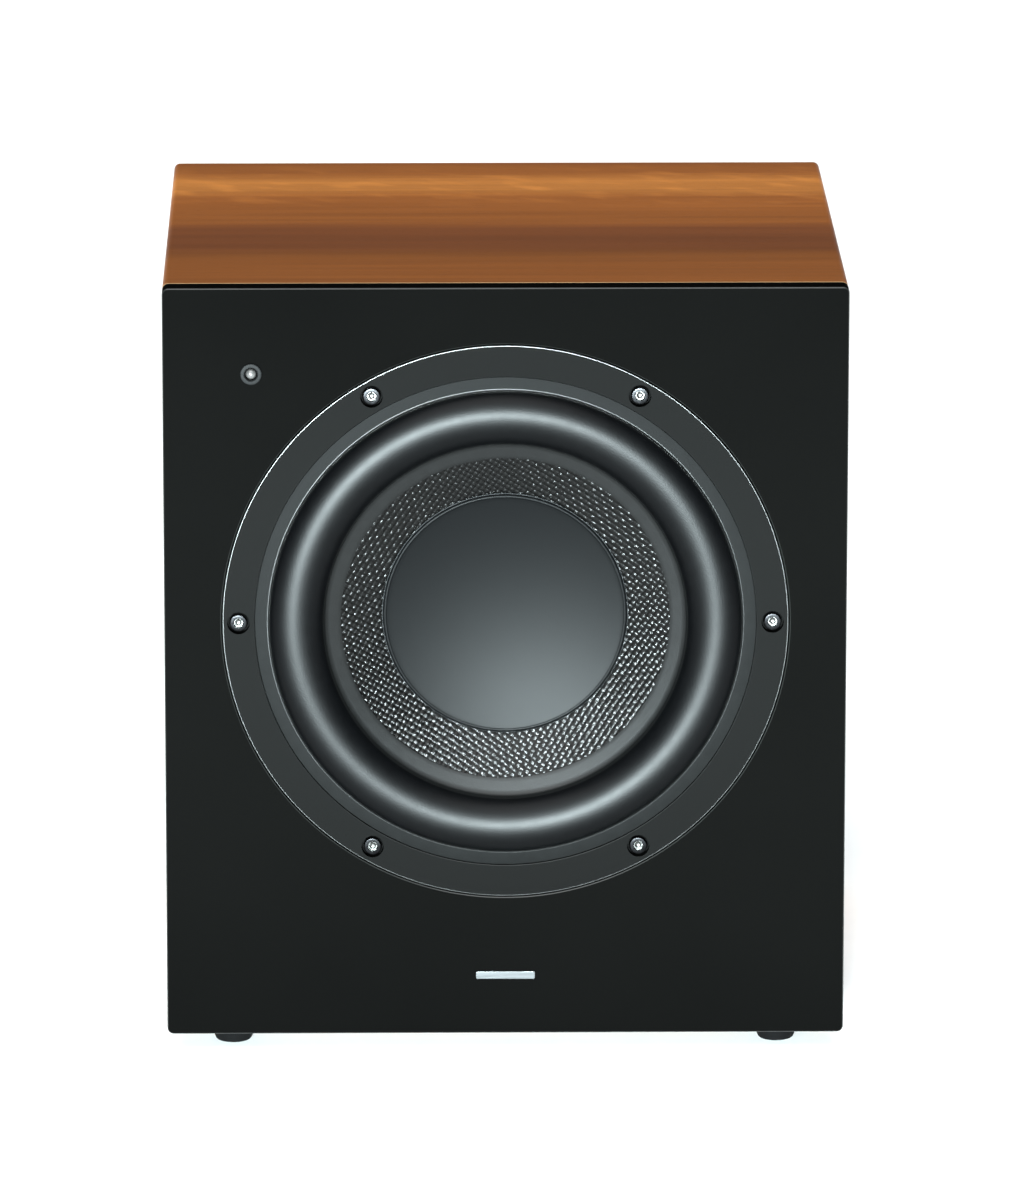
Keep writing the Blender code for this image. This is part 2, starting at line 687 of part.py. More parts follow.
def make_driver(front):
    driver = empty("driver_axis", (0, DRIVER_Y, 0), parent=front)
    screw_holes = screw_hole_cutter(driver)
    make_basket(driver, screw_holes)
    make_gasket(driver, screw_holes)
    make_driver_screws(driver)
    make_surround(driver)
    make_spider(driver)
    make_moving_parts(driver)
    make_motor(driver)
    make_terminals(driver, front)
    return driver, screw_holes


# ---- amplifier ----


def make_plate(amp):
    """The plate and its seal. The plate's openings are a little larger than what fills them."""
    ring = piece("amp_gasket", block(*PLATE_SIZE, *SEAL, 4 * MM), "gasket_foam", amp)
    inside = block(PLATE_SIZE[0] - 20 * MM, PLATE_SIZE[1] - 20 * MM, -WALL, WALL, 4 * MM)
    cut(ring, helper("cut_seal", inside, amp))
    shape = block(*PLATE_SIZE, PLATE_BACK, PLATE_FACE, 4 * MM)
    plate = piece("amp_plate", shape, "black_steel", amp)
    low = -5 * MM
    high = 10 * MM
    holes = [moved(cylinder(BUSH_RADIUS + GAP, low, high), *at) for at in (GAIN_AT, CROSSOVER_AT)]
    for side in (-0.5, 0.5):
        x = JACKS_AT[0] + side * JACK_PITCH
        holes.append(moved(cylinder(JACK_RADIUS + GAP, low, high), x, JACKS_AT[1]))
    for at, slot in ((PHASE_AT, PHASE_TRAVEL), (POWER_AT, 2 * POWER_TRAVEL)):
        size = (SLIDER[0] + slot + 2 * GAP, SLIDER[1] + 2 * GAP)
        holes.append(moved(block(*size, low, high), *at))
    holes.append(moved(block(15.6 * MM, 21.6 * MM, low, high), *ROCKER_AT))
    holes.append(moved(block(27.6 * MM, 31.6 * MM, low, high), *INLET_AT))
    cut(plate, helper("cut_plate_openings", merged(holes), amp))


def make_heat_sink(amp):
    """A comb of upright fins on a base."""
    width, height = SINK_SIZE
    fin = 2 * MM
    pitch = (width - fin) / (SINK_FINS - 1)
    top = KNOB_HIGH
    outline = [(width / 2, 0)]
    for i in range(SINK_FINS):
        right = width / 2 - i * pitch
        outline += [(right, top), (right - fin, top)]
        if i < SINK_FINS - 1:
            outline += [(right - fin, SINK_BASE), (right - pitch, SINK_BASE)]
    outline += [(-width / 2, 0)]
    low = PLATE_FACE + GAP
    shape = extruded(outline, -height / 2, height / 2)
    at = (SINK_AT[0], SINK_AT[1], low)
    piece("heat_sink", shape, "black_steel", amp, at, (math.radians(90), 0, 0))


def make_rotary(amp, name, at):
    """A potentiometer on the plate's back, its shaft, and the knob that turns with it."""
    axis = empty(f"{name}_axis", (*at, 0), parent=amp)
    bore = SHAFT_RADIUS + GAP
    body = 8.5 * MM
    bush_top = PLATE_FACE - 0.2 * MM
    profile = [
        (bore, bush_top), (BUSH_RADIUS, bush_top), (BUSH_RADIUS, BEHIND_PLATE),
        (body, BEHIND_PLATE), (body, -8.5 * MM), (bore, -8.5 * MM),
    ]
    piece(f"{name}_pot", turned(profile, TINY_ROUND), "zinc_steel", axis)
    shaft_top = KNOB_BASE + 8 * MM
    piece(f"{name}_shaft", cylinder(SHAFT_RADIUS, -8 * MM, shaft_top, TINY_ROUND), "satin_metal", axis)
    top = KNOB_BASE + KNOB_HIGH
    chamfer = 0.8 * MM
    profile = [
        (0, shaft_top + GAP), (bore, shaft_top + GAP), (bore, KNOB_BASE), (KNOB_RADIUS, KNOB_BASE),
        (KNOB_RADIUS - 0.5 * MM, top - chamfer), (KNOB_RADIUS - 0.5 * MM - chamfer, top), (0, top),
    ]
    piece(f"{name}_knob", turned(profile, SMALL_ROUND, closed=False), "black_plastic", axis)


def make_slide_switch(amp, name, at, travel, rest):
    """A slide switch behind the plate. The slider rests at an offset from the slot's middle."""
    high = BEHIND_PLATE
    low = high - 6 * MM
    base = piece(f"{name}_frame", block(24 * MM, 10 * MM, low, high), "zinc_steel", amp, (*at, 0))
    room = (SLIDER[0] + travel + 2 * GAP, SLIDER[1] + 2 * GAP)
    slot = block(*room, low + 1.5 * MM, high + 5 * MM)
    cut(base, helper(f"cut_{name}_slot", slot, amp, (*at, 0)))
    floor = low + 1.5 * MM + GAP
    slider = block(*SLIDER, floor, PLATE_FACE + 1.8 * MM)
    piece(name.split("_")[0] + "_slider", slider, "black_plastic", amp, (at[0] + rest, at[1], 0))


def make_jacks(amp):
    """One moulded block with two jacks."""
    shape = block(2 * JACK_PITCH, 16 * MM, -8.5 * MM, BEHIND_PLATE)
    jacks = piece("rca_jack_block", shape, "black_plastic", amp, (*JACKS_AT, 0))
    collars = []
    bores = []
    end = PLATE_FACE + 8 * MM
    for side in (-0.5, 0.5):
        collars.append(moved(cylinder(JACK_RADIUS, -4 * MM, end), side * JACK_PITCH, 0))
        bores.append(moved(cylinder(1.7 * MM, -2 * MM, end + 5 * MM, TINY_ROUND), side * JACK_PITCH, 0))
    join(jacks, helper("join_collars", merged(collars), amp, (*JACKS_AT, 0)))
    cut(jacks, helper("cut_jack_bores", merged(bores), amp, (*JACKS_AT, 0)))


def make_rocker(amp):
    """The mains switch: a frame through the plate, and a rocker on a level pivot."""
    bezel_top = PLATE_FACE + GAP + 2 * MM
    shape = block(19 * MM, 25 * MM, PLATE_FACE + GAP, bezel_top, 1 * MM)
    frame = piece("rocker_frame", shape, "black_plastic", amp, (*ROCKER_AT, 0))
    body = block(15 * MM, 21 * MM, -14 * MM, bezel_top - 1 * MM)
    room = block(12 * MM, 18 * MM, -11 * MM, bezel_top + 5 * MM)
    join(frame, helper("join_switch_body", body, amp, (*ROCKER_AT, 0)))
    cut(frame, helper("cut_rocker_room", room, amp, (*ROCKER_AT, 0)))
    side = [(-8.1, -2.5), (8.1, -2.5), (8.1, 2.6), (0, 1.2), (-8.1, 2.6)]
    outline = [(x * MM, y * MM) for x, y in side]
    shape = extruded(outline, -5.5 * MM, 5.5 * MM)
    stand = Matrix(((0, 0, 1), (1, 0, 0), (0, 1, 0))).to_4x4()
    bmesh.ops.transform(shape, matrix=stand, verts=shape.verts)
    pivot = (*ROCKER_AT, bezel_top - 1.5 * MM)
    piece("mains_rocker", shape, "black_plastic", amp, pivot, (ROCKER_TILT, 0, 0))


def make_inlet(amp):
    """A three-pin mains inlet with a fuse drawer under its socket."""
    face = PLATE_FACE + GAP + 2.5 * MM
    at = (*INLET_AT, 0)
    shape = block(32 * MM, 36 * MM, PLATE_FACE + GAP, face, 1.5 * MM)
    inlet = piece("iec_inlet", shape, "black_plastic", amp, at)
    body = block(27 * MM, 31 * MM, -22 * MM, face - 1 * MM)
    socket = moved(block(24.4 * MM, 16.6 * MM, face - 17 * MM, face + 5 * MM, 2 * MM), 0, 5 * MM)
    pocket = moved(block(23 * MM, 8 * MM, face - 22 * MM, face + 5 * MM), 0, -9.5 * MM)
    blades = []
    for x, y in ((-7, 3.5), (7, 3.5), (0, 7)):
        blade = block(2 * MM, 4 * MM, face - 18 * MM, face - 6 * MM)
        blades.append(moved(blade, x * MM, y * MM))
    join(inlet, helper("join_inlet_body", body, amp, at))
    cut(inlet, helper("cut_socket", socket, amp, at), helper("cut_fuse_pocket", pocket, amp, at))
    join(inlet, helper("join_blades", merged(blades), amp, at))
    middle = (INLET_AT[0], INLET_AT[1] - 9.5 * MM, 0)
    drawer = block(22.4 * MM, 7.4 * MM, face - 20 * MM, face + 1 * MM)
    drawer = piece("fuse_drawer", drawer, "black_plastic", amp, middle)
    fuse_z = face - 14 * MM
    seat = block(21.2 * MM, 12 * MM, fuse_z - 3 * MM, fuse_z + 3 * MM)
    cut(drawer, helper("cut_fuse_seat", moved(seat, 0, 3 * MM), amp, middle))
    fuse = cylinder(2.5 * MM, -10 * MM, 10 * MM, TINY_ROUND)
    fuse_at = (middle[0], middle[1] + 0.1 * MM, fuse_z)
    piece("fuse", fuse, "clear", amp, fuse_at, (0, math.radians(90), 0))


def make_inside(amp):
    """What the plate carries into the cabinet: the circuit board and the toroidal transformer."""
    board = [(-84, -112), (28, -112), (28, -78), (30, -78), (30, -36), (84, -36), (84, 14), (-84, 14)]
    shape = extruded([(x * MM, y * MM) for x, y in board], -24.6 * MM, -23 * MM)
    piece("amp_board", shape, "board_green", amp)
    inner, outer, high = TOROID
    top = -2 * MM
    soft = 5 * MM
    profile = [(inner, top - soft), (inner, top - high + soft)]
    profile += arc((outer - soft, top - high + soft), soft, -90, 0, 3)
    profile += arc((outer - soft, top - soft), soft, 0, 90, 3)
    profile.insert(2, (inner + soft, top - high))
    profile.append((inner + soft, top))
    piece("transformer", turned(profile, SMALL_ROUND), "copper", amp, (*TOROID_AT, 0))


def make_amplifier(rear):
    amp = empty("amp_axis", (0, AMP_Y, 0), parent=rear)
    make_plate(amp)
    make_heat_sink(amp)
    make_rotary(amp, "gain", GAIN_AT)
    make_rotary(amp, "crossover", CROSSOVER_AT)
    make_slide_switch(amp, "phase_switch", PHASE_AT, PHASE_TRAVEL, -PHASE_TRAVEL / 2)
    make_slide_switch(amp, "power_switch", POWER_AT, 2 * POWER_TRAVEL, 0)
    make_jacks(amp)
    make_rocker(amp)
    make_inlet(amp)
    make_inside(amp)


def main():
    clear_scene()
    upright = math.radians(90)
    front = empty("front", (0, FRONT_Y, FOOT_HEIGHT), (upright, 0, 0))
    rear = empty("rear", (0, REAR_Y, FOOT_HEIGHT), (upright, 0, math.radians(180)))
    make_walls(front)
    driver, screw_holes = make_driver(front)
    make_front_baffle(front, driver, screw_holes)
    make_inner_baffle(front, driver, screw_holes)
    make_rear_panel(rear)
    make_brace(front)
    make_wadding(front)
    make_feet()
    make_power_light(front)
    make_badge(front)
    make_amplifier(rear)


main()
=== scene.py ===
"""Powered subwoofer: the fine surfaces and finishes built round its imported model. Metres, Z up,
front towards -Y, origin on the floor under the middle.

Pieces on a face of the cabinet are modelled looking straight at that face, with x to the right,
y up and z out of it. FRONT, DRIVER and AMP turn those drawings into place."""

import math
import random

import bmesh
import bpy
from bpy.props import FloatProperty, FloatVectorProperty, IntProperty, PointerProperty
from mathutils import Matrix, Vector


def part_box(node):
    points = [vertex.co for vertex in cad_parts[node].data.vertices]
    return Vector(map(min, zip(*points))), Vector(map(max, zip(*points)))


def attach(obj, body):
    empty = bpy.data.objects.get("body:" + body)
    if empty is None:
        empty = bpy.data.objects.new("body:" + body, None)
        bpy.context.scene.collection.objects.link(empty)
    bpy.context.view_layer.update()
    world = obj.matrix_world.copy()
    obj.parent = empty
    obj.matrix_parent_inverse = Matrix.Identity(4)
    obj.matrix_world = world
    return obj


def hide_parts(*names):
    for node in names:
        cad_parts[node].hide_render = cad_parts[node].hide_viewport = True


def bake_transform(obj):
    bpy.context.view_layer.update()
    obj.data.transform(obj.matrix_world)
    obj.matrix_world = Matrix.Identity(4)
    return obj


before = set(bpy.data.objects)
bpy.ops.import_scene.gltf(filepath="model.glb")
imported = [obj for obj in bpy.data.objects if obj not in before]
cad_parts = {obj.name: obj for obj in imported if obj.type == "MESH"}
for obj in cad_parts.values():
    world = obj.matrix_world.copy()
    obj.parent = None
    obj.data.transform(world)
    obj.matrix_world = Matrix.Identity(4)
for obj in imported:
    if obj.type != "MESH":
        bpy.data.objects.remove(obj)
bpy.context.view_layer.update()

bl_info = {
    "name": "Powered Subwoofer",
    "version": (1, 0, 0),
    "blender": (4, 5, 0),
    "location": "View3D > Sidebar > Subwoofer",
    "description": "Veneered subwoofer with a woven cone, a rubber surround and a plate amplifier",
    "category": "Add Mesh",
}

MM = 0.001
MERGE = 0.001 * MM
GAP = 0.3 * MM

# ---- where things are, read from the frame ----


def middle(node):
    low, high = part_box(node)
    return (low + high) / 2


def span(node):
    low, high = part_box(node)
    return high - low


def standing(x, y, z, turn=0):
    """A face drawn flat, stood upright at a place and turned about the vertical."""
    return (
        Matrix.Translation((x, y, z))
        @ Matrix.Rotation(math.radians(turn), 4, "Z")
        @ Matrix.Rotation(math.radians(90), 4, "X")
    )


FRONT_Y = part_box("front_baffle")[0].y
REAR_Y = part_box("rear_panel")[1].y
CABINET_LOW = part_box("front_baffle")[0].z
WIDTH = span("front_baffle").x
HEIGHT = span("front_baffle").z
BAFFLE_THICK = span("front_baffle").y
WALL_FRONT = -(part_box("top_panel")[0].y - FRONT_Y)
WALL_BACK = -(REAR_Y - FRONT_Y)
WALL = span("top_panel").z
FRONT = standing(0, FRONT_Y, CABINET_LOW)
DRIVER = standing(middle("basket").x, FRONT_Y, middle("basket").z)
AMP = standing(middle("amp_plate").x, REAR_Y, middle("amp_plate").z, 180)


def on_front(node):
    """The middle of a node in the front's own drawing."""
    return FRONT.inverted() @ middle(node)


def on_amp(node):
    """The middle of a node in the amplifier plate's own drawing."""
    return AMP.inverted() @ middle(node)


def spot(face, at):
    """A face's own drawing, moved so that its zero is at a place on the face."""
    return face @ Matrix.Translation((at.x, at.y, 0))


# Driver, in radii and in depths from the baffle's face
FLANGE_RADIUS = span("basket").x / 2
FLANGE_THICK = 7 * MM
SEAT_RADIUS = 117.7 * MM
REBATE_RADIUS = FLANGE_RADIUS + 0.6 * MM
REBATE_DEPTH = 8.8 * MM
HOLE_RADIUS = 116 * MM
SCREW_CIRCLE = 125.2 * MM
SCREWS = 6
HEAD_RADIUS = 4.25 * MM
HEAD_TOP = -0.1 * MM
HEAD_HIGH = 4.8 * MM
SCREW_RADIUS = 2.5 * MM
SCREW_LONG = 22 * MM
SCREW_HOLE = 2.8 * MM
COUNTERBORE = 5.25 * MM
COUNTERBORE_DEPTH = 5.2 * MM
RIM_OUTER = span("surround").x / 2
RIM_DEPTH = 1 * MM
ROLL_OUTER = 110.4 * MM
ROLL_INNER = 85.6 * MM
LIP_INNER = 77.4 * MM
LIP_LIFT = 1 * MM
CONE_OUTER = 84.5 * MM
CONE_INNER = 26.4 * MM
CONE_DEPTH = 6 * MM
CONE_SLOPE = 0.5
CAP_RADIUS = 57.2 * MM
CAP_DISH = 4.2 * MM
SPIDER_DEPTH = 47.1 * MM
SPIDER_INNER = 26.4 * MM
SPIDER_OUTER = 71.4 * MM
SPIDER_WAVES = 5

# Power light
LIGHT_HOLE = 4.8 * MM
LENS_RADIUS = 2.6 * MM

# Amplifier, outwards from the rear panel's face
PLATE_BACK = 1.8 * MM
PLATE_FACE = 4.8 * MM
KNOB_BASE = 5.3 * MM
KNOB_TOP = 18.3 * MM
KNOB_RADIUS = 8.98 * MM
BOARD_TOP = -22.9 * MM

# Stage: the front light is a wide, low box that ends below the top panel
FRONT_LIGHT_AT = (-0.22, -2.65, 0.2825)
FRONT_LIGHT_AIM = (0, FRONT_Y, 0.21)
FRONT_LIGHT_SIZE = (1.3, 0.165)
FRONT_LIGHT_SPREAD = 26
SKY_SPREAD = 54


def cone_top(radius):
    """The height of the cone's front surface at a radius."""
    return -CONE_DEPTH - (CONE_OUTER - radius) * CONE_SLOPE


# ---- sizes and colours ----


def length(name, description, default):
    return FloatProperty(
        name=name, description=description, default=default, min=0, unit="LENGTH", subtype="DISTANCE"
    )


def angle(name, description, degrees):
    return FloatProperty(
        name=name, description=description, default=math.radians(degrees),
        unit="ROTATION", subtype="ANGLE",
    )


def colour(name, description, default):
    return FloatVectorProperty(
        name=name, description=description, default=default, size=3, min=0, max=1, subtype="COLOR"
    )


class CabinetSizes(bpy.types.PropertyGroup):
    corner_radius: length("Corner radius", "Rounding of the cabinet's long edges", 3 * MM)
    mitre_gap: length("Mitre gap", "Seam left where two walls meet at a corner", 0.05 * MM)
    front_break: length("Front edge", "Sanded bevel on the veneer's front edge", 0.5 * MM)
    baffle_chamfer: length("Baffle chamfer", "Bevel round the face of the baffle", 1 * MM)


class DriverSizes(bpy.types.PropertyGroup):
    rubber: length("Rubber", "Thickness of the surround", 1.2 * MM)
    roll_high: length("Roll height", "How far the half roll stands up", 9.5 * MM)
    strand_pitch: length("Strand pitch", "Width of one strand of the woven cone", 2.4 * MM)
    strand_angle: angle("Strand angle", "Direction of the weave's first strands", 56.5)
    strand_round: angle("Strand round", "Steepest slope across a strand", 30)
    strand_crimp: angle("Strand crimp", "Steepest slope along a strand", 14)


class AmplifierSizes(bpy.types.PropertyGroup):
    knob_flutes: IntProperty(
        name="Knob flutes", description="Grooves round each knob", default=24, min=6
    )
    fins: IntProperty(name="Fins", description="Fins on the heat sink", default=14, min=2)


class Colours(bpy.types.PropertyGroup):
    wood_gold: colour("Gold wood", "Lightest band of the veneer", (0.56, 0.215, 0.043))
    wood_mid: colour("Middle wood", "Main tone of the veneer", (0.33, 0.108, 0.019))
    wood_dark: colour("Dark wood", "Darkest band of the veneer", (0.175, 0.054, 0.013))
    # light tan for the bevel on the veneer's front edge: partly the bare sanded edge's own colour, partly a
    # painted highlight that the bevel catches
    edge_tan_and_highlight: colour("Edge wood", "Sanded front edge of the veneer", (0.62, 0.42, 0.22))
    baffle: colour("Baffle", "Matt paint of the baffle", (0.0007, 0.0007, 0.00064))
    casting: colour("Casting", "Powder coat of the driver's frame", (0.0012, 0.0012, 0.00113))
    rubber: colour("Rubber", "Surround", (0.00025, 0.0003, 0.0004))
    strand: colour("Strand", "Fibre of the woven cone", (0.0003, 0.0003, 0.00028))
    cap: colour("Cap", "Dust cap", (0.001, 0.0011, 0.0012))
    metal: colour("Metal", "Light bezel and badge", (0.3, 0.31, 0.32))


class StageSettings(bpy.types.PropertyGroup):
    camera_at: FloatVectorProperty(
        name="Camera", description="Where the camera stands", size=3, unit="LENGTH",
        default=(-0.06348, -4.48230, 1.25506), subtype="TRANSLATION",
    )
    camera_down: angle("Camera down", "How far the camera looks down", 13.4687)
    camera_turn: angle("Camera turn", "How far the camera looks to the right", 0.8468)
    camera_roll: angle("Camera roll", "Roll of the camera about its axis", 0.0358)
    lens: FloatProperty(name="Lens", description="Focal length in millimetres", default=284.64)
    floor: colour("Floor", "Studio floor", (0.86, 0.86, 0.86))
    top_light: FloatProperty(name="Top light", description="Watts a square metre from above", default=4.2)
    front_light: FloatProperty(name="Front light", description="Watts in front", default=36)


# ---- materials ----


class Value:
    """A shader socket that takes part in sums, each of which adds a Math node."""

    def __init__(self, nodes, socket):
        self.nodes = nodes
        self.socket = socket

    def _maths(self, operation, *values):
        return self.nodes.add("ShaderNodeMath", dict(enumerate(values)), operation=operation)

    def __add__(self, other):
        return self._maths("ADD", self, other)

    def __sub__(self, other):
        return self._maths("SUBTRACT", self, other)

    def __rsub__(self, other):
        return self._maths("SUBTRACT", other, self)

    def __mul__(self, other):
        return self._maths("MULTIPLY", self, other)

    def __truediv__(self, other):
        return self._maths("DIVIDE", self, other)

    def __pow__(self, other):
        return self._maths("POWER", self, other)

    def __mod__(self, other):
        return self._maths("FLOORED_MODULO", self, other)

    def __gt__(self, other):
        return self._maths("GREATER_THAN", self, other)

    def __lt__(self, other):
        return self._maths("LESS_THAN", self, other)

    def __floor__(self):
        return self._maths("FLOOR", self)

    def sine(self):
        return self._maths("SINE", self)

    __radd__ = __add__
    __rmul__ = __mul__


class Nodes:
    """A shader tree, and the ways its nodes are added."""

    def __init__(self, tree):
        self.tree = tree

    def add(self, kind, inputs=None, output=0, stops=(), **settings):
        """Any node: its settings, a ramp's stops, then the values or links of its sockets."""
        node = self.tree.nodes.new(kind)
        for name, value in settings.items():
            setattr(node, name, value)
        for number, (place, shade) in enumerate(stops):
            ramp = node.color_ramp.elements
            stop = ramp[number] if number < 2 else ramp.new(place)
            stop.position = place
            stop.color = (*shade, 1)
        for name, value in (inputs or {}).items():
            self.feed(node.inputs[name], value)
        return Value(self, node.outputs[output])

    def feed(self, socket, value):
        """Links a value to a socket, or sets a plain number or colour on it."""
        if isinstance(value, Value):
            self.tree.links.new(value.socket, socket)
        else:
            socket.default_value = value

    def parts(self, vector):
        split = self.add("ShaderNodeSeparateXYZ", {"Vector": vector})
        return [Value(self, socket) for socket in split.socket.node.outputs]

    def ramp(self, value, *stops):
        return self.add("ShaderNodeValToRGB", {"Fac": value}, stops=stops)


class Finish(Nodes):
    """A material being made: uniform values set on its shader, and nodes that feed it."""

    def __init__(self, name, base=(0.5, 0.5, 0.5), roughness=0.5, metallic=0.0, **sockets):
        self.material = bpy.data.materials.new(name)
        self.material.use_nodes = True
        super().__init__(self.material.node_tree)
        self.shader = self.tree.nodes["Principled BSDF"]
        self.set("Base Color", (*base, 1))
        self.set("Roughness", roughness)
        self.set("Metallic", metallic)
        for name, value in sockets.items():
            self.set(name.replace("_", " ").title().replace("Ior", "IOR"), value)

    def set(self, name, value):
        self.feed(self.shader.inputs[name], value)

    def here(self, scale=(1, 1, 1), location=(0, 0, 0), rotation=(0, 0, 0)):
        """The point being shaded, in the object's own coordinates, centred, turned and scaled."""
        at = self.add("ShaderNodeTexCoord", output="Object")
        centred = self.add(
            "ShaderNodeMapping", {"Vector": at, "Location": location, "Rotation": rotation}
        )
        return self.add("ShaderNodeMapping", {"Vector": centred, "Scale": scale})

    def stretched(self, vector, scale, rotation=(0, 0, 0)):
        """A vector turned, then scaled, for a pattern that is longer one way than the other."""
        swivelled = self.add("ShaderNodeMapping", {"Vector": vector, "Rotation": rotation})
        return self.add("ShaderNodeMapping", {"Vector": swivelled, "Scale": scale})

    def noise(self, vector, scale, detail=2.0, roughness=0.5):
        return self.add(
            "ShaderNodeTexNoise",
            {"Vector": vector, "Scale": scale, "Detail": detail, "Roughness": roughness},
        )

    def mix(self, share, first, second, blend="MIX"):
        first, second = ((*c, 1) if isinstance(c, tuple) else c for c in (first, second))
        return self.add(
            "ShaderNodeMix", {0: share, 6: first, 7: second}, output=2,
            data_type="RGBA", blend_type=blend,
        )

    def bump(self, height, distance):
        self.set("Normal", self.add("ShaderNodeBump", {"Height": height, "Distance": distance}))


def tint(shade, by):
    return tuple(min(1, channel * by) for channel in shade)


def grained(name, base, roughness, grain=900, depth=0.05, spread=0.25, **more):
    """A finish with a fine grain in its bump, and a slow drift in its colour and gloss."""
    finish = Finish(name, base, roughness, **more)
    at = finish.here()
    fine = finish.noise(at, grain, 3)
    slow = finish.noise(at, 14, 2)
    finish.set("Base Color", finish.mix(slow, tint(base, 1 - spread), tint(base, 1 + spread)))
    finish.set("Roughness", roughness - 0.04 + slow * 0.05 + fine * 0.04)
    finish.bump(fine, depth * MM)
    return finish.material


def veneer(colours):
    """Banded wood whose grain runs round the cabinet: the bands follow the depth, and the
    figure runs along the walls."""
    finish = Finish("veneer", colours.wood_mid, 0.4, specular_ior_level=0.14)
    x, y, z = finish.parts(finish.here())
    along = x + z
    depth = (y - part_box("top_panel")[0].y) / span("top_panel").y
    run = finish.add("ShaderNodeCombineXYZ", {0: along, 1: y, 2: 0.0})
    wobble = finish.noise(finish.stretched(run, (2.2, 9, 1)), 1.0, 3)
    ripple = finish.noise(finish.stretched(run, (7, 60, 1)), 1.0, 2)
    band = depth + (wobble - 0.5) * 0.09 + (ripple - 0.5) * 0.03
    gold, mid, dark = (tuple(c) for c in (colours.wood_gold, colours.wood_mid, colours.wood_dark))
    wood = finish.ramp(
        band, (0.0, tint(mid, 0.8)), (0.97, tint(mid, 0.85)), (0.14, tint(mid, 0.82)),
        (0.22, tint(mid, 0.68)), (0.29, dark), (0.37, dark), (0.44, tint(dark, 1.15)),
        (0.5, tint(mid, 0.9)), (0.63, mid), (0.7, tint(mid, 1.08)), (0.77, tint(gold, 0.93)),
        (0.84, gold), (0.91, tint(mid, 1.02)),
    )
    streak = finish.noise(finish.stretched(run, (5, 420, 1)), 1.0, 4, 0.6)
    figure = finish.noise(finish.stretched(run, (3, 85, 1)), 1.0, 3)
    shade = finish.ramp(streak * 0.6 + figure * 0.4, (0.32, (0.66, 0.63, 0.6)), (0.66, (1, 1, 1)))
    wood = finish.mix(1.0, wood, shade, "MULTIPLY")
    curl = finish.noise(finish.stretched(run, (34, 75, 1), (0, 0, 0.5)), 1.0, 1.5)
    lift = finish.add(
        "ShaderNodeMapRange",
        {"Value": curl, "From Min": 0.52, "From Max": 0.75, "To Min": 0.0, "To Max": 0.5},
    )
    near_gold = finish.ramp(band, (0.6, (0, 0, 0)), (0.98, (0, 0, 0)), (0.8, (1, 1, 1)))
    wood = finish.mix(lift * near_gold, wood, tint(gold, 1.3))
    pore = finish.noise(finish.stretched(run, (110, 2600, 1)), 1.0, 2)
    pores = (pore > 0.66) * 0.35
    wood = finish.mix(pores, wood, tint(dark, 0.6))
    # the thin bevel along the front edge is painted light tan: partly the bare sanded edge, partly a painted
    # highlight on the bevel
    bare = depth < 0.0022
    wood = finish.mix(bare, wood, tuple(colours.edge_tan_and_highlight))
    finish.set("Base Color", wood)
    finish.set("Roughness", 0.36 + streak * 0.1 + pores * 0.3)
    finish.bump(streak * 0.35 - pores, 0.02 * MM)
    return finish.material


def black_paint(colours):
    """Matt sprayed paint with a fine orange-peel surface."""
    finish = Finish("matt_black_paint", colours.baffle, 0.75, specular_ior_level=0.009)
    at = finish.here()
    fine = finish.noise(at, 1100, 2)
    cloud = finish.noise(at, 9, 3)
    base = tuple(colours.baffle)
    finish.set("Base Color", finish.mix(cloud, tint(base, 0.75), tint(base, 1.3)))
    finish.set("Roughness", 0.7 + fine * 0.1)
    finish.bump(fine, 0.05 * MM)
    return finish.material


def rubber_finish(name, base, roughness, specular):
    """One zone of the surround: the satin roll, or one of its duller bonded rims."""
    finish = Finish(name, base, roughness, specular_ior_level=specular)
    at = finish.here()
    fine = finish.noise(at, 1400, 2)
    mottle = finish.noise(at, 230, 3)
    finish.set("Base Color", finish.mix(mottle, tint(base, 0.7), tint(base, 1.4)))
    finish.set("Roughness", roughness - 0.05 + fine * 0.04 + mottle * 0.06)
    finish.bump(fine, 0.05 * MM)
    return finish.material


def weave_finish(colours, sizes):
    """Glossy fibre bundles, their filaments lying along each strand of a plain weave."""
    finish = Finish("woven_fibre", colours.strand, 0.28, specular_ior_level=0.2)
    at = finish.here(location=(0, 0, -DRIVER.translation.z))
    u, _, v = finish.parts(
        finish.add("ShaderNodeMapping", {"Vector": at, "Rotation": (0, sizes.strand_angle, 0)})
    )
    pitch = sizes.strand_pitch
    parity = (math.floor(u / pitch) + math.floor(v / pitch)) % 2.0
    threads = 2 * math.pi * 9 / pitch
    lines = (u * threads).sine() * parity + (v * threads).sine() * (1 - parity)
    shine = finish.noise(at, 160, 2)
    base = tuple(colours.strand)
    finish.set("Base Color", finish.mix(shine, tint(base, 0.6), tint(base, 1.6)))
    finish.set("Roughness", 0.23 + shine * 0.1)
    finish.bump(lines, 0.012 * MM)
    return finish.material


def cap_finish(colours):
    """Dust cap: a fine-grained, softly metallic moulding."""
    finish = Finish("dust_cap_grey", colours.cap, 0.38, specular_ior_level=0.026)
    at = finish.here()
    fine = finish.noise(at, 1700, 3, 0.7)
    base = tuple(colours.cap)
    finish.set("Base Color", finish.mix(fine, tint(base, 0.7), tint(base, 1.35)))
    finish.set("Roughness", 0.35 + fine * 0.06)
    finish.bump(fine, 0.04 * MM)
    return finish.material


def brushed(name, base, roughness=0.3, stretch=(40, 1800, 1800)):
    """Metal with fine brush lines across it."""
    finish = Finish(name, base, roughness, 1.0)
    lines = finish.noise(finish.here(scale=stretch), 1.0, 3)
    finish.set("Base Color", finish.mix(lines, tint(base, 0.82), tint(base, 1.15)))
    finish.set("Roughness", roughness - 0.08 + lines * 0.16)
    finish.bump(lines, 0.02 * MM)
    return finish.material


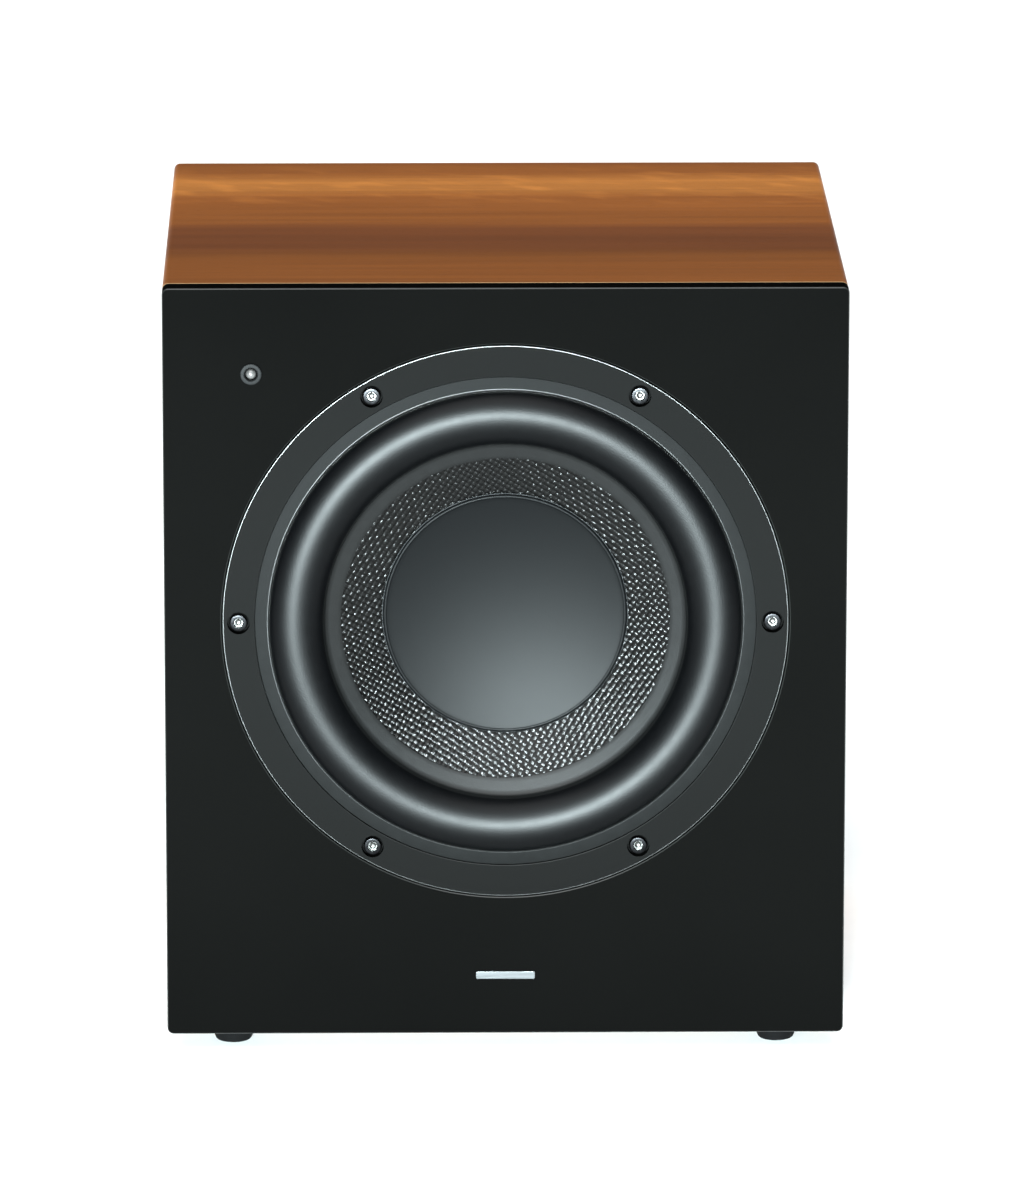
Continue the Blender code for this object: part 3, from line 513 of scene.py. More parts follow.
def wound_wire(name, base, centre, axis, turns):
    """Enamelled wire laid side by side round an axis: `turns` is the number of wires a metre."""
    finish = Finish(name, base, 0.28, 0.9, coat_weight=0.4, coat_roughness=0.1)
    at = finish.here(location=tuple(-c for c in centre))
    places = finish.parts(at)
    if axis == "along":
        position = places[1] * turns * 2 * math.pi
    else:
        position = finish.add("ShaderNodeMath", {0: places[2], 1: places[0]}, operation="ARCTAN2")
        position = position * float(turns)
    wire = position.sine()
    drift = finish.noise(at, 60, 2)
    finish.set("Base Color", finish.mix(drift, tint(base, 0.75), tint(base, 1.15)))
    finish.bump(wire * 0.5 + 0.5, 0.25 * MM)
    return finish.material


def pressed_board(name, base):
    """Fibreboard: compressed fibres, speckled."""
    finish = Finish(name, base, 0.85)
    at = finish.here()
    speck = finish.noise(at, 520, 5, 0.7)
    cloud = finish.noise(at, 22, 3)
    fibres = finish.mix(speck, tint(base, 0.7), tint(base, 1.3))
    finish.set("Base Color", finish.mix(cloud * 0.4, fibres, tint(base, 0.8)))
    finish.bump(speck, 0.1 * MM)
    return finish.material


def circuit_board():
    """Green solder mask with copper tracks showing through."""
    finish = Finish("circuit_board", (0.01, 0.11, 0.045), 0.35)
    x, _, z = finish.parts(finish.here())
    across = (((x + (z * 40).sine() * 0.0008) * 400) % 1.0) > 0.68
    down = (((z + (x * 55).sine() * 0.0006) * 330) % 1.0) > 0.72
    patch = finish.noise(finish.here(), 60, 0) > 0.5
    tracks = across * patch + down * (1 - patch)
    finish.set("Base Color", finish.mix(tracks, (0.006, 0.075, 0.03), (0.025, 0.17, 0.07)))
    finish.bump(tracks, 0.05 * MM)
    return finish.material


def woven_cloth(name, base, pitch, centre):
    """Coarse resin-stiffened cloth."""
    finish = Finish(name, base, 0.8)
    x, _, z = finish.parts(finish.here(location=tuple(-c for c in centre)))
    threads = 2 * math.pi / pitch
    warp = (x * threads).sine()
    weft = (z * threads).sine()
    cloth = warp * weft * 0.5 + 0.5
    finish.set("Base Color", finish.mix(cloth, tint(base, 0.5), tint(base, 1.3)))
    finish.bump(cloth, 0.15 * MM)
    return finish.material


def fluffy(name, base):
    """Polyester wadding."""
    finish = Finish(name, base, 1.0, sheen_weight=0.5, sheen_roughness=0.5)
    at = finish.here()
    tufts = finish.noise(at, 90, 6, 0.7)
    hair = finish.noise(finish.here(scale=(1500, 120, 400)), 1.0, 3)
    finish.set("Base Color", finish.mix(tufts, tint(base, 0.75), tint(base, 1.1)))
    finish.bump(tufts + hair * 0.3, 1.2 * MM)
    return finish.material


def lens_with_painted_highlight():
    """Clear plastic, unlit, painted lighter at its centre than at its rim: a painted highlight."""
    finish = Finish("lens_painted_highlight", (0.62, 0.64, 0.66), 0.12, coat_weight=0.6, coat_roughness=0.03)
    x, _, z = finish.parts(finish.here())
    centre = middle("led_lens")
    far = ((x - centre.x) ** 2.0 + (z - centre.z) ** 2.0) ** 0.5
    # core is the painted highlight at the lens's centre, and edge is the darker rim it fades to
    core, edge = (0.046, 0.044, 0.043), (0.016, 0.0155, 0.015)
    finish.set("Base Color", finish.ramp(far / LENS_RADIUS, (0.3, core), (1.0, edge)))
    return finish.material


def ringed_metal(name, base, centre, roughness=0.3):
    """Turned metal, with the lathe's fine rings about an axis that runs front to back."""
    finish = Finish(name, base, roughness, 1.0)
    x, _, z = finish.parts(finish.here(location=(-centre[0], 0, -centre[1])))
    rings = (((x * x + z * z) ** 0.5) * 9000).sine()
    blotch = finish.noise(finish.here(), 40, 3)
    finish.set("Base Color", finish.mix(blotch, tint(base, 0.8), tint(base, 1.1)))
    finish.set("Roughness", roughness + rings * 0.05 + blotch * 0.08)
    finish.bump(rings, 0.01 * MM)
    return finish.material


# ---- shapes ----


def turned(profile, steps=192, closed=True):
    """A profile of (radius, z) points turned round z. An open one starts and ends on the axis."""
    bm = bmesh.new()
    verts = [bm.verts.new((radius, 0, z)) for radius, z in profile]
    ends = verts[1:] + verts[:1] if closed else verts[1:]
    for a, b in zip(verts, ends):
        bm.edges.new((a, b))
    bmesh.ops.spin(
        bm, geom=bm.verts[:] + bm.edges[:], axis=(0, 0, 1), cent=(0, 0, 0),
        angle=2 * math.pi, steps=steps, use_merge=True, use_duplicate=False,
    )
    bmesh.ops.remove_doubles(bm, verts=bm.verts, dist=MERGE)
    return bm


def in_mm(*points):
    """Points given in millimetres."""
    return [tuple(number * MM for number in point) for point in points]


def rod(radius, low, high, steps=48):
    """A round bar that stands from z low to z high."""
    return turned([(0, high), (radius, high), (radius, low), (0, low)], steps, False)


def extruded(outline, low, high):
    """A prism of an (x, y) outline from z low to z high."""
    bm = bmesh.new()
    face = bm.faces.new([bm.verts.new((x, y, low)) for x, y in outline])
    grown = bmesh.ops.extrude_face_region(bm, geom=[face])
    verts = [item for item in grown["geom"] if isinstance(item, bmesh.types.BMVert)]
    bmesh.ops.translate(bm, verts=verts, vec=(0, 0, high - low))
    return bm


def arc(centre, radius, start, end, steps):
    """Points on an arc, from one angle to another in degrees."""
    angles = [math.radians(start + (end - start) * i / steps) for i in range(steps + 1)]
    return [(centre[0] + radius * math.cos(a), centre[1] + radius * math.sin(a)) for a in angles]


def rectangle(width, height, radius=0, steps=6):
    x = width / 2 - radius
    y = height / 2 - radius
    if not radius:
        return [(x, -y), (x, y), (-x, y), (-x, -y)]
    points = []
    for turn, corner in enumerate([(x, y), (-x, y), (-x, -y), (x, -y)]):
        points += arc(corner, radius, 90 * turn, 90 * turn + 90, steps)
    return points


def block(width, height, low, high, radius=0):
    return extruded(rectangle(width, height, radius), low, high)


def ribbon(line, thickness):
    """The closed outline of a wall along a line of points, half its thickness to each side.
    A list of thicknesses, one a point, tapers it."""
    widths = thickness if isinstance(thickness, list) else [thickness] * len(line)
    points = [Vector(p) for p in line]
    sides = []
    for i, point in enumerate(points):
        along = points[min(i + 1, len(points) - 1)] - points[max(i - 1, 0)]
        normal = Vector((-along.y, along.x)).normalized() * widths[i] / 2
        sides.append((point + normal, point - normal))
    return [tuple(a) for a, _ in sides] + [tuple(b) for _, b in reversed(sides)]


def softened(bm, width, segments=2, steeper_than=40):
    """Every sharp edge bevelled."""
    bmesh.ops.recalc_face_normals(bm, faces=bm.faces)
    limit = math.radians(steeper_than)
    sharp = [e for e in bm.edges if len(e.link_faces) == 2 and e.calc_face_angle() > limit]
    bmesh.ops.bevel(
        bm, geom=sharp, offset=width, affect="EDGES", segments=segments, profile=0.5,
        material=-1, clamp_overlap=True,
    )
    return bm


def moved(bm, x=0, y=0, z=0):
    bmesh.ops.translate(bm, verts=bm.verts, vec=(x, y, z))
    return bm


def swung(bm, degrees, axis="Z"):
    bmesh.ops.rotate(
        bm, verts=bm.verts, cent=(0, 0, 0), matrix=Matrix.Rotation(math.radians(degrees), 3, axis)
    )
    return bm


def merged(shapes):
    """Several bmeshes as one."""
    whole = bmesh.new()
    for shape in shapes:
        mesh = bpy.data.meshes.new("merged")
        shape.to_mesh(mesh)
        shape.free()
        whole.from_mesh(mesh)
        bpy.data.meshes.remove(mesh)
    return whole


def guide(bm, name="guide"):
    bmesh.ops.recalc_face_normals(bm, faces=bm.faces)
    mesh = bpy.data.meshes.new(name)
    bm.to_mesh(mesh)
    bm.free()
    obj = bpy.data.objects.new(name, mesh)
    bpy.context.scene.collection.objects.link(obj)
    return obj


def combined(bm, other, operation, overlapping=False):
    """Two closed shapes as one, by an exact Boolean. Overlapping parts of a shape take longer."""
    body, tool = guide(bm), guide(other, "tool")
    modifier = body.modifiers.new(operation, "BOOLEAN")
    modifier.operation = operation
    modifier.object = tool
    modifier.use_self = overlapping
    graph = bpy.context.evaluated_depsgraph_get()
    result = bmesh.new()
    result.from_mesh(bpy.data.meshes.new_from_object(body.evaluated_get(graph)))
    for obj in (body, tool):
        mesh = obj.data
        bpy.data.objects.remove(obj)
        bpy.data.meshes.remove(mesh)
    return result


def carved(bm, *cutters):
    return combined(bm, merged(cutters), "DIFFERENCE", len(cutters) > 1)


def deliver(name, bm, material, where=None, body="cabinet", replaces=(), smooth=25):
    """A finished piece: placed in its mesh, riding on a body, standing for its CAD nodes."""
    bmesh.ops.remove_doubles(bm, verts=bm.verts, dist=MERGE)
    bmesh.ops.transform(bm, matrix=where or Matrix.Identity(4), verts=bm.verts)
    bmesh.ops.recalc_face_normals(bm, faces=bm.faces)
    mesh = bpy.data.meshes.new(name)
    bm.to_mesh(mesh)
    bm.free()
    mesh.materials.append(material)
    mesh.shade_smooth()
    mesh.set_sharp_from_angle(angle=math.radians(smooth))
    obj = bpy.data.objects.new(name, mesh)
    bpy.context.scene.collection.objects.link(obj)
    if body:
        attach(obj, body)
        even = obj.modifiers.new("even_shading", "WEIGHTED_NORMAL")
        even.keep_sharp = True
    if replaces:
        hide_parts(*replaces)
    return obj


def round_pattern(count, radius, first=0):
    angles = [2 * math.pi * i / count + math.radians(first) for i in range(count)]
    return [(radius * math.cos(a), radius * math.sin(a)) for a in angles]


def flexing(obj, fixed_radius, moving_radius):
    """Bakes a round suspension part's placement into its mesh and works out each point's share between the
    frame, at one radius, and the cone, at the other; nothing uses these shares, so the part does not flex.
    """
    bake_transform(obj)
    centre = DRIVER.translation
    for vert in obj.data.vertices:
        radius = math.hypot(vert.co.x - centre.x, vert.co.z - centre.z)
        share = (fixed_radius - radius) / (fixed_radius - moving_radius)
        share = max(0.0, min(1.0, share))
    return obj


# ---- cabinet ----


def wall_outline(sizes, long, half):
    """A wall seen from the front: its outer face at y = half, and mitred ends."""
    radius = sizes.corner_radius
    outer = long / 2 - radius
    stop = math.degrees(sizes.mitre_gap / 2 / radius)
    right = arc((outer, half - radius), radius, 45 + stop, 90, 8)
    left = [(-x, y) for x, y in reversed(right)]
    inner = long / 2 - WALL - sizes.mitre_gap / 2 * math.sqrt(2)
    return right + left + [(-inner, half - WALL), (inner, half - WALL)]


class SUBWOOFER_OT_cabinet(bpy.types.Operator):
    """Four mitred walls wrapped in banded veneer"""

    bl_idname = "subwoofer.cabinet"
    bl_label = "Cabinet Walls"

    def execute(self, context):
        sizes = context.scene.subwoofer_cabinet
        centre = FRONT @ Matrix.Translation((0, HEIGHT / 2, 0))
        walls = (
            ("top_panel", WIDTH, HEIGHT, 0), ("left_side_panel", HEIGHT, WIDTH, 90),
            ("bottom_panel", WIDTH, HEIGHT, 180), ("right_side_panel", HEIGHT, WIDTH, 270),
        )
        colours = context.scene.subwoofer_colours
        material = veneer(colours)
        edging = pressed_board("stained_edge", tint(tuple(colours.wood_dark), 0.8))
        for node, long, other, turn in walls:
            bm = extruded(wall_outline(sizes, long, other / 2), WALL_BACK, WALL_FRONT)
            outside = other / 2 - sizes.corner_radius - MERGE
            ends = [
                e for e in bm.edges
                if all(v.co.y > outside for v in e.verts) and e.verts[0].co.z == e.verts[1].co.z
            ]
            bmesh.ops.bevel(
                bm, geom=ends, offset=sizes.front_break, affect="EDGES", segments=2,
                profile=0.5, material=-1,
            )
            where = centre @ Matrix.Rotation(math.radians(turn), 4, "Z")
            wall = deliver(f"veneered_{node}", bm, material, where, replaces=[node])
            wall.data.materials.append(edging)
            for face in wall.data.polygons:
                face.material_index = face.normal.y > 0.9
        return {"FINISHED"}


class SUBWOOFER_OT_baffle(bpy.types.Operator):
    """Painted front baffle with the driver's rebate and the light's hole"""

    bl_idname = "subwoofer.baffle"
    bl_label = "Front Baffle"

    def execute(self, context):
        sizes = context.scene.subwoofer_cabinet
        bm = block(WIDTH, HEIGHT, -BAFFLE_THICK, 0, sizes.corner_radius)
        rim = [e for e in bm.edges if all(abs(v.co.z) < MERGE for v in e.verts)]
        bmesh.ops.bevel(
            bm, geom=rim, offset=sizes.baffle_chamfer, affect="EDGES", segments=3,
            profile=0.5, material=-1,
        )
        moved(bm, 0, HEIGHT / 2)
        high = 5 * MM
        low = -BAFFLE_THICK - high
        axis = DRIVER.translation.z - CABINET_LOW
        ease = 0.4 * MM
        hole = turned(
            [(0, high), (REBATE_RADIUS + ease + high, high), (REBATE_RADIUS + ease, 0),
             (REBATE_RADIUS, -ease), (REBATE_RADIUS, -REBATE_DEPTH), (HOLE_RADIUS, -REBATE_DEPTH),
             (HOLE_RADIUS, low), (0, low)], closed=False,
        )
        light = on_front("led_bezel")
        light_hole = moved(rod(LIGHT_HOLE, low, high), light.x, light.y)
        screws = [
            moved(rod(SCREW_HOLE, low, 0, 24), x, axis + y)
            for x, y in round_pattern(SCREWS, SCREW_CIRCLE)
        ]
        bm = carved(bm, moved(hole, 0, axis), light_hole, *screws)
        material = black_paint(context.scene.subwoofer_colours)
        baffle = deliver(
            "painted_baffle", bm, material, FRONT, replaces=["front_baffle"],
        )
        # a lighter copy of the paint for the baffle's chamfers: a painted highlight along its front edge
        edges = grained("rubbed_paint_edge", (0.0035, 0.0038, 0.0035), 0.35, 1500, 0.03)
        paint_edge_highlight(baffle, edges, sizes.baffle_chamfer + 0.1 * MM, 0.2, 0.95)
        return {"FINISHED"}


def paint_edge_highlight(obj, material, depth, least, most):
    """A second, lighter finish on the slanting faces just behind the front, a painted highlight along those
    chamfers: `least` and `most` say how squarely such a face looks at the front, from 0 to 1."""
    obj.data.materials.append(material)
    for face in obj.data.polygons:
        near = face.center.y < FRONT_Y + depth
        face.material_index = near and least < abs(face.normal.y) < most


class SUBWOOFER_OT_feet(bpy.types.Operator):
    """Tapered rubber feet, each with the head of its screw in the recess"""

    bl_idname = "subwoofer.feet"
    bl_label = "Feet"

    def execute(self, context):
        rubber = grained("foot_rubber", (0.0018, 0.0018, 0.0019), 0.65, 1300, specular_ior_level=0.05)
        steel = brushed("foot_screw_steel", (0.5, 0.5, 0.48), 0.3, (900, 900, 900))
        top = CABINET_LOW - GAP
        profile = in_mm(
            (2.2, 0), (11, 0), (11, -2.2), (10.7, -2.5), (8.4, -8.1), (7.8, -8.7), (5.4, -8.7),
            (5.2, -8.4), (5.2, -3.7), (2.2, -3.7),
        )
        screw = in_mm((0, -6.2), (1.8, -6.1), (3.2, -5.6), (3.9, -4.6), (4, -4), (0, -4))
        for end in ("front", "rear"):
            for side in ("left", "right"):
                node = f"foot_{end}_{side}"
                at = middle(node)
                where = Matrix.Translation((at.x, at.y, top))
                foot = softened(turned(profile, 64), 0.2 * MM)
                deliver(f"rubber_{node}", foot, rubber, where, replaces=[node])
                head = turned(screw, 40, False)
                slots = [swung(block(5 * MM, 0.9 * MM, -8 * MM, -5.2 * MM), a) for a in (0, 90)]
                deliver(f"{node}_screw", carved(head, *slots), steel, where)
        return {"FINISHED"}


class SUBWOOFER_OT_wadding(bpy.types.Operator):
    """Polyester pads on the side walls, puffed up by a cloth simulation"""

    bl_idname = "subwoofer.wadding"
    bl_label = "Wadding"

    def execute(self, context):
        material = fluffy("wadding_fibre", (0.74, 0.74, 0.71))
        slim = 1.6 * MM
        for node in ("wadding_left", "wadding_right"):
            size = span(node) - Vector((2 * slim, slim, slim))
            pad = bmesh.new()
            bmesh.ops.create_cube(pad, size=1)
            bmesh.ops.scale(pad, verts=pad.verts, vec=size)
            softened(pad, 2 * MM, 3)
            bmesh.ops.translate(pad, verts=pad.verts, vec=middle(node))
            obj = deliver(f"{node}_pad", pad, material, body=None, smooth=180)
            remesh = obj.modifiers.new("even", "REMESH")
            remesh.mode = "VOXEL"
            remesh.voxel_size = 4 * MM
            replace_mesh(obj)
            puff(obj, pressure=4, most=1.4 * MM)
            finer = obj.modifiers.new("finer", "SUBSURF")
            finer.levels = 1
            finer.render_levels = 1
            obj.data.shade_smooth()
            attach(obj, "cabinet")
            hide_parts(node)
        return {"FINISHED"}


def replace_mesh(obj):
    """Applies an object's modifiers to its mesh."""
    graph = bpy.context.evaluated_depsgraph_get()
    mesh = bpy.data.meshes.new_from_object(obj.evaluated_get(graph))
    obj.modifiers.clear()
    obj.data = mesh


def puff(obj, pressure, most):
    """Fills a closed cloth with air. No point moves further than `most`."""
    rest = [v.co.copy() for v in obj.data.vertices]
    cloth = obj.modifiers.new("puff", "CLOTH")
    cloth.settings.use_pressure = True
    cloth.settings.uniform_pressure_force = pressure
    cloth.settings.effector_weights.gravity = 0
    scene = bpy.context.scene
    for number in range(1, 21):
        scene.frame_set(number)
    replace_mesh(obj)
    scene.frame_set(1)
    for vert, start in zip(obj.data.vertices, rest):
        step = vert.co - start
        if step.length > most:
            vert.co = start + step.normalized() * most


# ---- driver ----


class SUBWOOFER_OT_frame(bpy.types.Operator):
    """The driver's cast frame and the foam gasket behind its flange"""

    bl_idname = "subwoofer.driver_frame"
    bl_label = "Driver Frame"

    def execute(self, context):
        ease = 0.45 * MM
        outer = FLANGE_RADIUS
        flange = [
            (outer - ease, 0), (outer - ease * 0.3, -ease * 0.3), (outer, -ease),
            (outer, -FLANGE_THICK), (113.5 * MM, -FLANGE_THICK),
        ]
        bowl = in_mm(
            (113.5, -20), (76, -51), (70, -64), (66, -80.2), (44, -80.2), (44, -77), (57, -77),
            (64, -53), (64, -48), (72, -48), (109.5, -16), (109.5, -2.5), (117.7, -2.5),
        )
        inside = [(SEAT_RADIUS, -0.3 * MM), (SEAT_RADIUS + 0.3 * MM, 0)]
        bm = turned(flange + bowl + inside)
        tools = []
        for number in range(SCREWS):
            about = 30 + 60 * number
            tools.append(sector(78, 105, about, 20, -60, -10))
            tools.append(sector(50, 85, about, 17, -74, -58))
        high, low = 2 * MM, -9 * MM
        bore = [
            (0, high), (COUNTERBORE, high), (COUNTERBORE, -COUNTERBORE_DEPTH),
            (SCREW_HOLE, -COUNTERBORE_DEPTH), (SCREW_HOLE, low), (0, low),
        ]
        for x, y in round_pattern(SCREWS, SCREW_CIRCLE):
            tools.append(moved(turned(bore, 48, False), x, y))
        bm = carved(bm, *tools)
        colours = context.scene.subwoofer_colours
        coat = grained(
            "cast_powder_coat", tuple(colours.casting), 0.58, 1200, 0.06, 0.12,
            specular_ior_level=0.0155,
        )
        casting = deliver("cast_frame", bm, coat, DRIVER, replaces=["basket"])
        # a lighter, glossier copy of the coat for the flange's chamfers: a painted highlight along its edges
        edges = grained("rubbed_cast_edge", (0.0014, 0.0015, 0.0014), 0.4, 1500, 0.03)
        paint_edge_highlight(casting, edges, 0.6 * MM, 0.1, 0.97)
        ring = turned(in_mm((118, 0), (118, -1.2), (131, -1.2), (131, 0)))
        ring = moved(ring, z=-FLANGE_THICK - GAP)
        holes = [
            moved(rod(3 * MM, -12 * MM, 0, 24), x, y)
            for x, y in round_pattern(SCREWS, SCREW_CIRCLE)
        ]
        foam = grained("gasket_foam", (0.03, 0.03, 0.03), 0.95, 700, 0.3)
        ring = carved(softened(ring, 0.3 * MM), *holes)
        deliver("foam_gasket", ring, foam, DRIVER, replaces=["driver_gasket"])
        return {"FINISHED"}


def sector(inner, outer, about, half, low, high):
    """A prism over part of a ring, in millimetres and degrees."""
    outline = arc((0, 0), outer * MM, about - half, about + half, 12)
    outline += arc((0, 0), inner * MM, about + half, about - half, 12)
    return softened(extruded(outline, low * MM, high * MM), 3 * MM, 3)


class SUBWOOFER_OT_screws(bpy.types.Operator):
    """Six black socket-head screws"""

    bl_idname = "subwoofer.driver_screws"
    bl_label = "Driver Screws"

    def execute(self, context):
        steel = Finish("black_oxide_steel", (0.006, 0.006, 0.0064), 0.25, 1.0)
        wear = steel.noise(steel.here(), 700, 3)
        steel.set("Roughness", 0.15 + wear * 0.18)
        steel.bump(wear, 0.01 * MM)
        socket_steel = brushed("socket_steel", (0.09, 0.09, 0.087), 0.25, (900, 900, 900))
        under = HEAD_TOP - HEAD_HIGH
        ease = 0.7 * MM
        for number, (x, y) in enumerate(round_pattern(SCREWS, SCREW_CIRCLE), start=1):
            crown = arc((HEAD_RADIUS - ease, HEAD_TOP - ease), ease, 90, 0, 5)
            tip = under - SCREW_LONG
            bm = turned(
                [(0, HEAD_TOP), *crown, (HEAD_RADIUS, under), (SCREW_RADIUS, under),
                 (SCREW_RADIUS, tip), (0, tip)], 64, False,
            )
            hexagon = extruded(round_pattern(6, 2.3 * MM, 12), HEAD_TOP - 2.2 * MM, 1 * MM)
            mouth = turned(in_mm((0, 1), (3.2, 1), (2, -0.6), (0, -0.6)), 48, False)
            drill = turned(in_mm((0, -1), (1.6, -1), (1.6, -2.4), (0, -3.3)), 32, False)
            bm = carved(bm, combined(combined(hexagon, mouth, "UNION"), drill, "UNION"))
            screw = deliver(
                f"socket_screw_{number}", moved(bm, x, y), steel.material, DRIVER,
                replaces=[f"driver_screw_{number}"],
            )
            screw.data.materials.append(socket_steel)
            centre = DRIVER @ Vector((x, y, HEAD_TOP))
            for face in screw.data.polygons:
                step = face.center - centre
                sunk = 0.15 * MM < step.y < 3.5 * MM
                face.material_index = sunk and math.hypot(step.x, step.z) < 2.6 * MM
        return {"FINISHED"}


def surround_line(sizes):
    """The middle of the rubber: a flat rim, the half roll, and a lip that lies on the cone."""
    half = sizes.rubber / 2
    rim = -RIM_DEPTH - half
    lip_top = cone_top(ROLL_INNER) + LIP_LIFT
    centre = (ROLL_OUTER + ROLL_INNER) / 2
    reach = (ROLL_OUTER - ROLL_INNER) / 2
    fillet = 1.4 * MM
    line = [(RIM_OUTER, rim)] + arc((ROLL_OUTER + fillet, rim + fillet), fillet, -90, -180, 8)
    steps = 40
    for i in range(2, steps):
        turn = math.pi * i / steps
        base = rim + (lip_top - rim) * i / steps
        line.append((centre + reach * math.cos(turn), base + sizes.roll_high * math.sin(turn)))
    start = ROLL_INNER - 0.9 * MM
    for i in range(5):
        radius = start + (LIP_INNER - start) * i / 4
        line.append((radius, cone_top(radius) + LIP_LIFT))
    return line


class SUBWOOFER_OT_surround(bpy.types.Operator):
    """Half-roll rubber surround between the frame and the cone"""

    bl_idname = "subwoofer.surround"
    bl_label = "Surround"

    def execute(self, context):
        sizes = context.scene.subwoofer_driver
        line = surround_line(sizes)
        bm = softened(turned(ribbon(line, sizes.rubber), 240), 0.3 * MM, 3, 50)
        colours = context.scene.subwoofer_colours
        rubber = tuple(colours.rubber)
        zones = (
            rubber_finish("surround_rubber", rubber, 0.42, 0.083),
            rubber_finish("bonded_rim", (0.0024, 0.0025, 0.0025), 0.55, 0.021),
            rubber_finish("bonded_lip", (0.0006, 0.0007, 0.0007), 0.45, 0.24),
        )
        obj = deliver("rubber_surround", bm, zones[0], DRIVER, None, ["surround"], 40)
        for zone in zones[1:]:
            obj.data.materials.append(zone)
        for face in obj.data.polygons:
            step = face.center - DRIVER.translation
            radius = math.hypot(step.x, step.z)
            fillet = ROLL_OUTER + 0.3 * MM < radius < ROLL_OUTER + 1.45 * MM
            glossy = radius < ROLL_INNER or fillet
            face.material_index = 2 if glossy else int(radius > ROLL_OUTER)
        flexing(obj, ROLL_OUTER, ROLL_INNER)
        return {"FINISHED"}


class SUBWOOFER_OT_suspension(bpy.types.Operator):
    """Corrugated spider, and the two braided leads to the cone"""

    bl_idname = "subwoofer.suspension"
    bl_label = "Spider and Leads"

    def execute(self, context):
        flat = 4 * MM
        first, last = SPIDER_INNER + flat, SPIDER_OUTER - 2 * flat
        line = [(SPIDER_INNER, -SPIDER_DEPTH)]
        steps = 80
        for i in range(steps + 1):
            wave = 1.5 * MM * math.cos(2 * math.pi * SPIDER_WAVES * i / steps)
            line.append((first + (last - first) * i / steps, -SPIDER_DEPTH + wave))
        line += [(last + flat, -SPIDER_DEPTH), (SPIDER_OUTER, -SPIDER_DEPTH)]
        cloth = woven_cloth("spider_cloth", (0.5, 0.3, 0.1), 0.9 * MM, DRIVER.translation)
        bm = turned(ribbon(line, 0.6 * MM), 128)
        obj = deliver("spider_disc", bm, cloth, DRIVER, None, ["spider"], 60)
        flexing(obj, SPIDER_OUTER - flat, SPIDER_INNER + flat)
        braid = braided("tinsel_braid", (0.75, 0.42, 0.25))
        route = in_mm((9, -42, -31.5), (10, -54, -38), (11, -68, -40), (11, -80, -42), (10, -86, -55.2))
        for node, side in (("tinsel_lead_left", -1), ("tinsel_lead_right", 1)):
            points = smooth_path([(side * x, y, z) for x, y, z in route], 8)
            obj = deliver(f"{node}_braid", tube(points, 0.8 * MM), braid, DRIVER, None, [node])
            start, end = DRIVER @ points[-1], DRIVER @ points[0]
            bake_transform(obj)
        return {"FINISHED"}


def braided(name, base):
    """Fine bare wires twisted together."""
    finish = Finish(name, base, 0.3, 1.0)
    x, y, z = finish.parts(finish.here())
    twist = ((x + y + z) * 5200).sine()
    finish.set("Base Color", finish.mix(twist * 0.5 + 0.5, tint(base, 0.5), tint(base, 1.2)))
    finish.bump(twist, 0.12 * MM)
    return finish.material


def smooth_path(anchors, steps):
    """Points on a smooth curve through the anchors."""
    knots = [Vector(p) for p in anchors]
    knots = [2 * knots[0] - knots[1]] + knots + [2 * knots[-1] - knots[-2]]
    points = []
    for a, b, c, d in zip(knots, knots[1:], knots[2:], knots[3:]):
        for i in range(steps):
            t = i / steps
            points.append(
                0.5 * (2 * b + (c - a) * t + (2 * a - 5 * b + 4 * c - d) * t**2
                       + (3 * b - a - 3 * c + d) * t**3)
            )
    return points + [knots[-2]]


def tube(points, radius, sides=12):
    """A round wire along points, closed at both ends."""
    bm = bmesh.new()
    rings = []
    across = Vector((1, 0, 0))
    for i, point in enumerate(points):
        along = (points[min(i + 1, len(points) - 1)] - points[max(i - 1, 0)]).normalized()
        across = (across - along * across.dot(along)).normalized()
        turn = Matrix((across, along.cross(across), along)).transposed().to_4x4()
        made = bmesh.ops.create_circle(
            bm, cap_ends=i in (0, len(points) - 1), segments=sides, radius=radius,
            matrix=Matrix.Translation(point) @ turn,
        )
        rings.append(list({e for v in made["verts"] for e in v.link_edges}))
    for a, b in zip(rings, rings[1:]):
        bmesh.ops.bridge_loops(bm, edges=a + b)
    return bm


class SUBWOOFER_OT_cone(bpy.types.Operator):
    """Cone body, and the woven facing that shows between the dust cap and the surround"""

    bl_idname = "subwoofer.cone"
    bl_label = "Woven Cone"

    def execute(self, context):
        sizes = context.scene.subwoofer_driver
        colours = context.scene.subwoofer_colours
        weave = weave_finish(colours, sizes)
        under = 0.85 * MM
        line = [(r, cone_top(r) - under) for r in (CONE_OUTER, 70 * MM, 45 * MM, CONE_INNER)]
        body = grained("cone_body_black", tuple(colours.strand), 0.5, 700)
        shell = softened(turned(ribbon(line, 0.9 * MM)), 0.2 * MM)
        deliver("cone_shell", shell, body, DRIVER, "cone_assembly", ["cone"])
        deliver("woven_facing", woven_sheet(sizes), weave, DRIVER, "cone_assembly", (), 60)
        return {"FINISHED"}


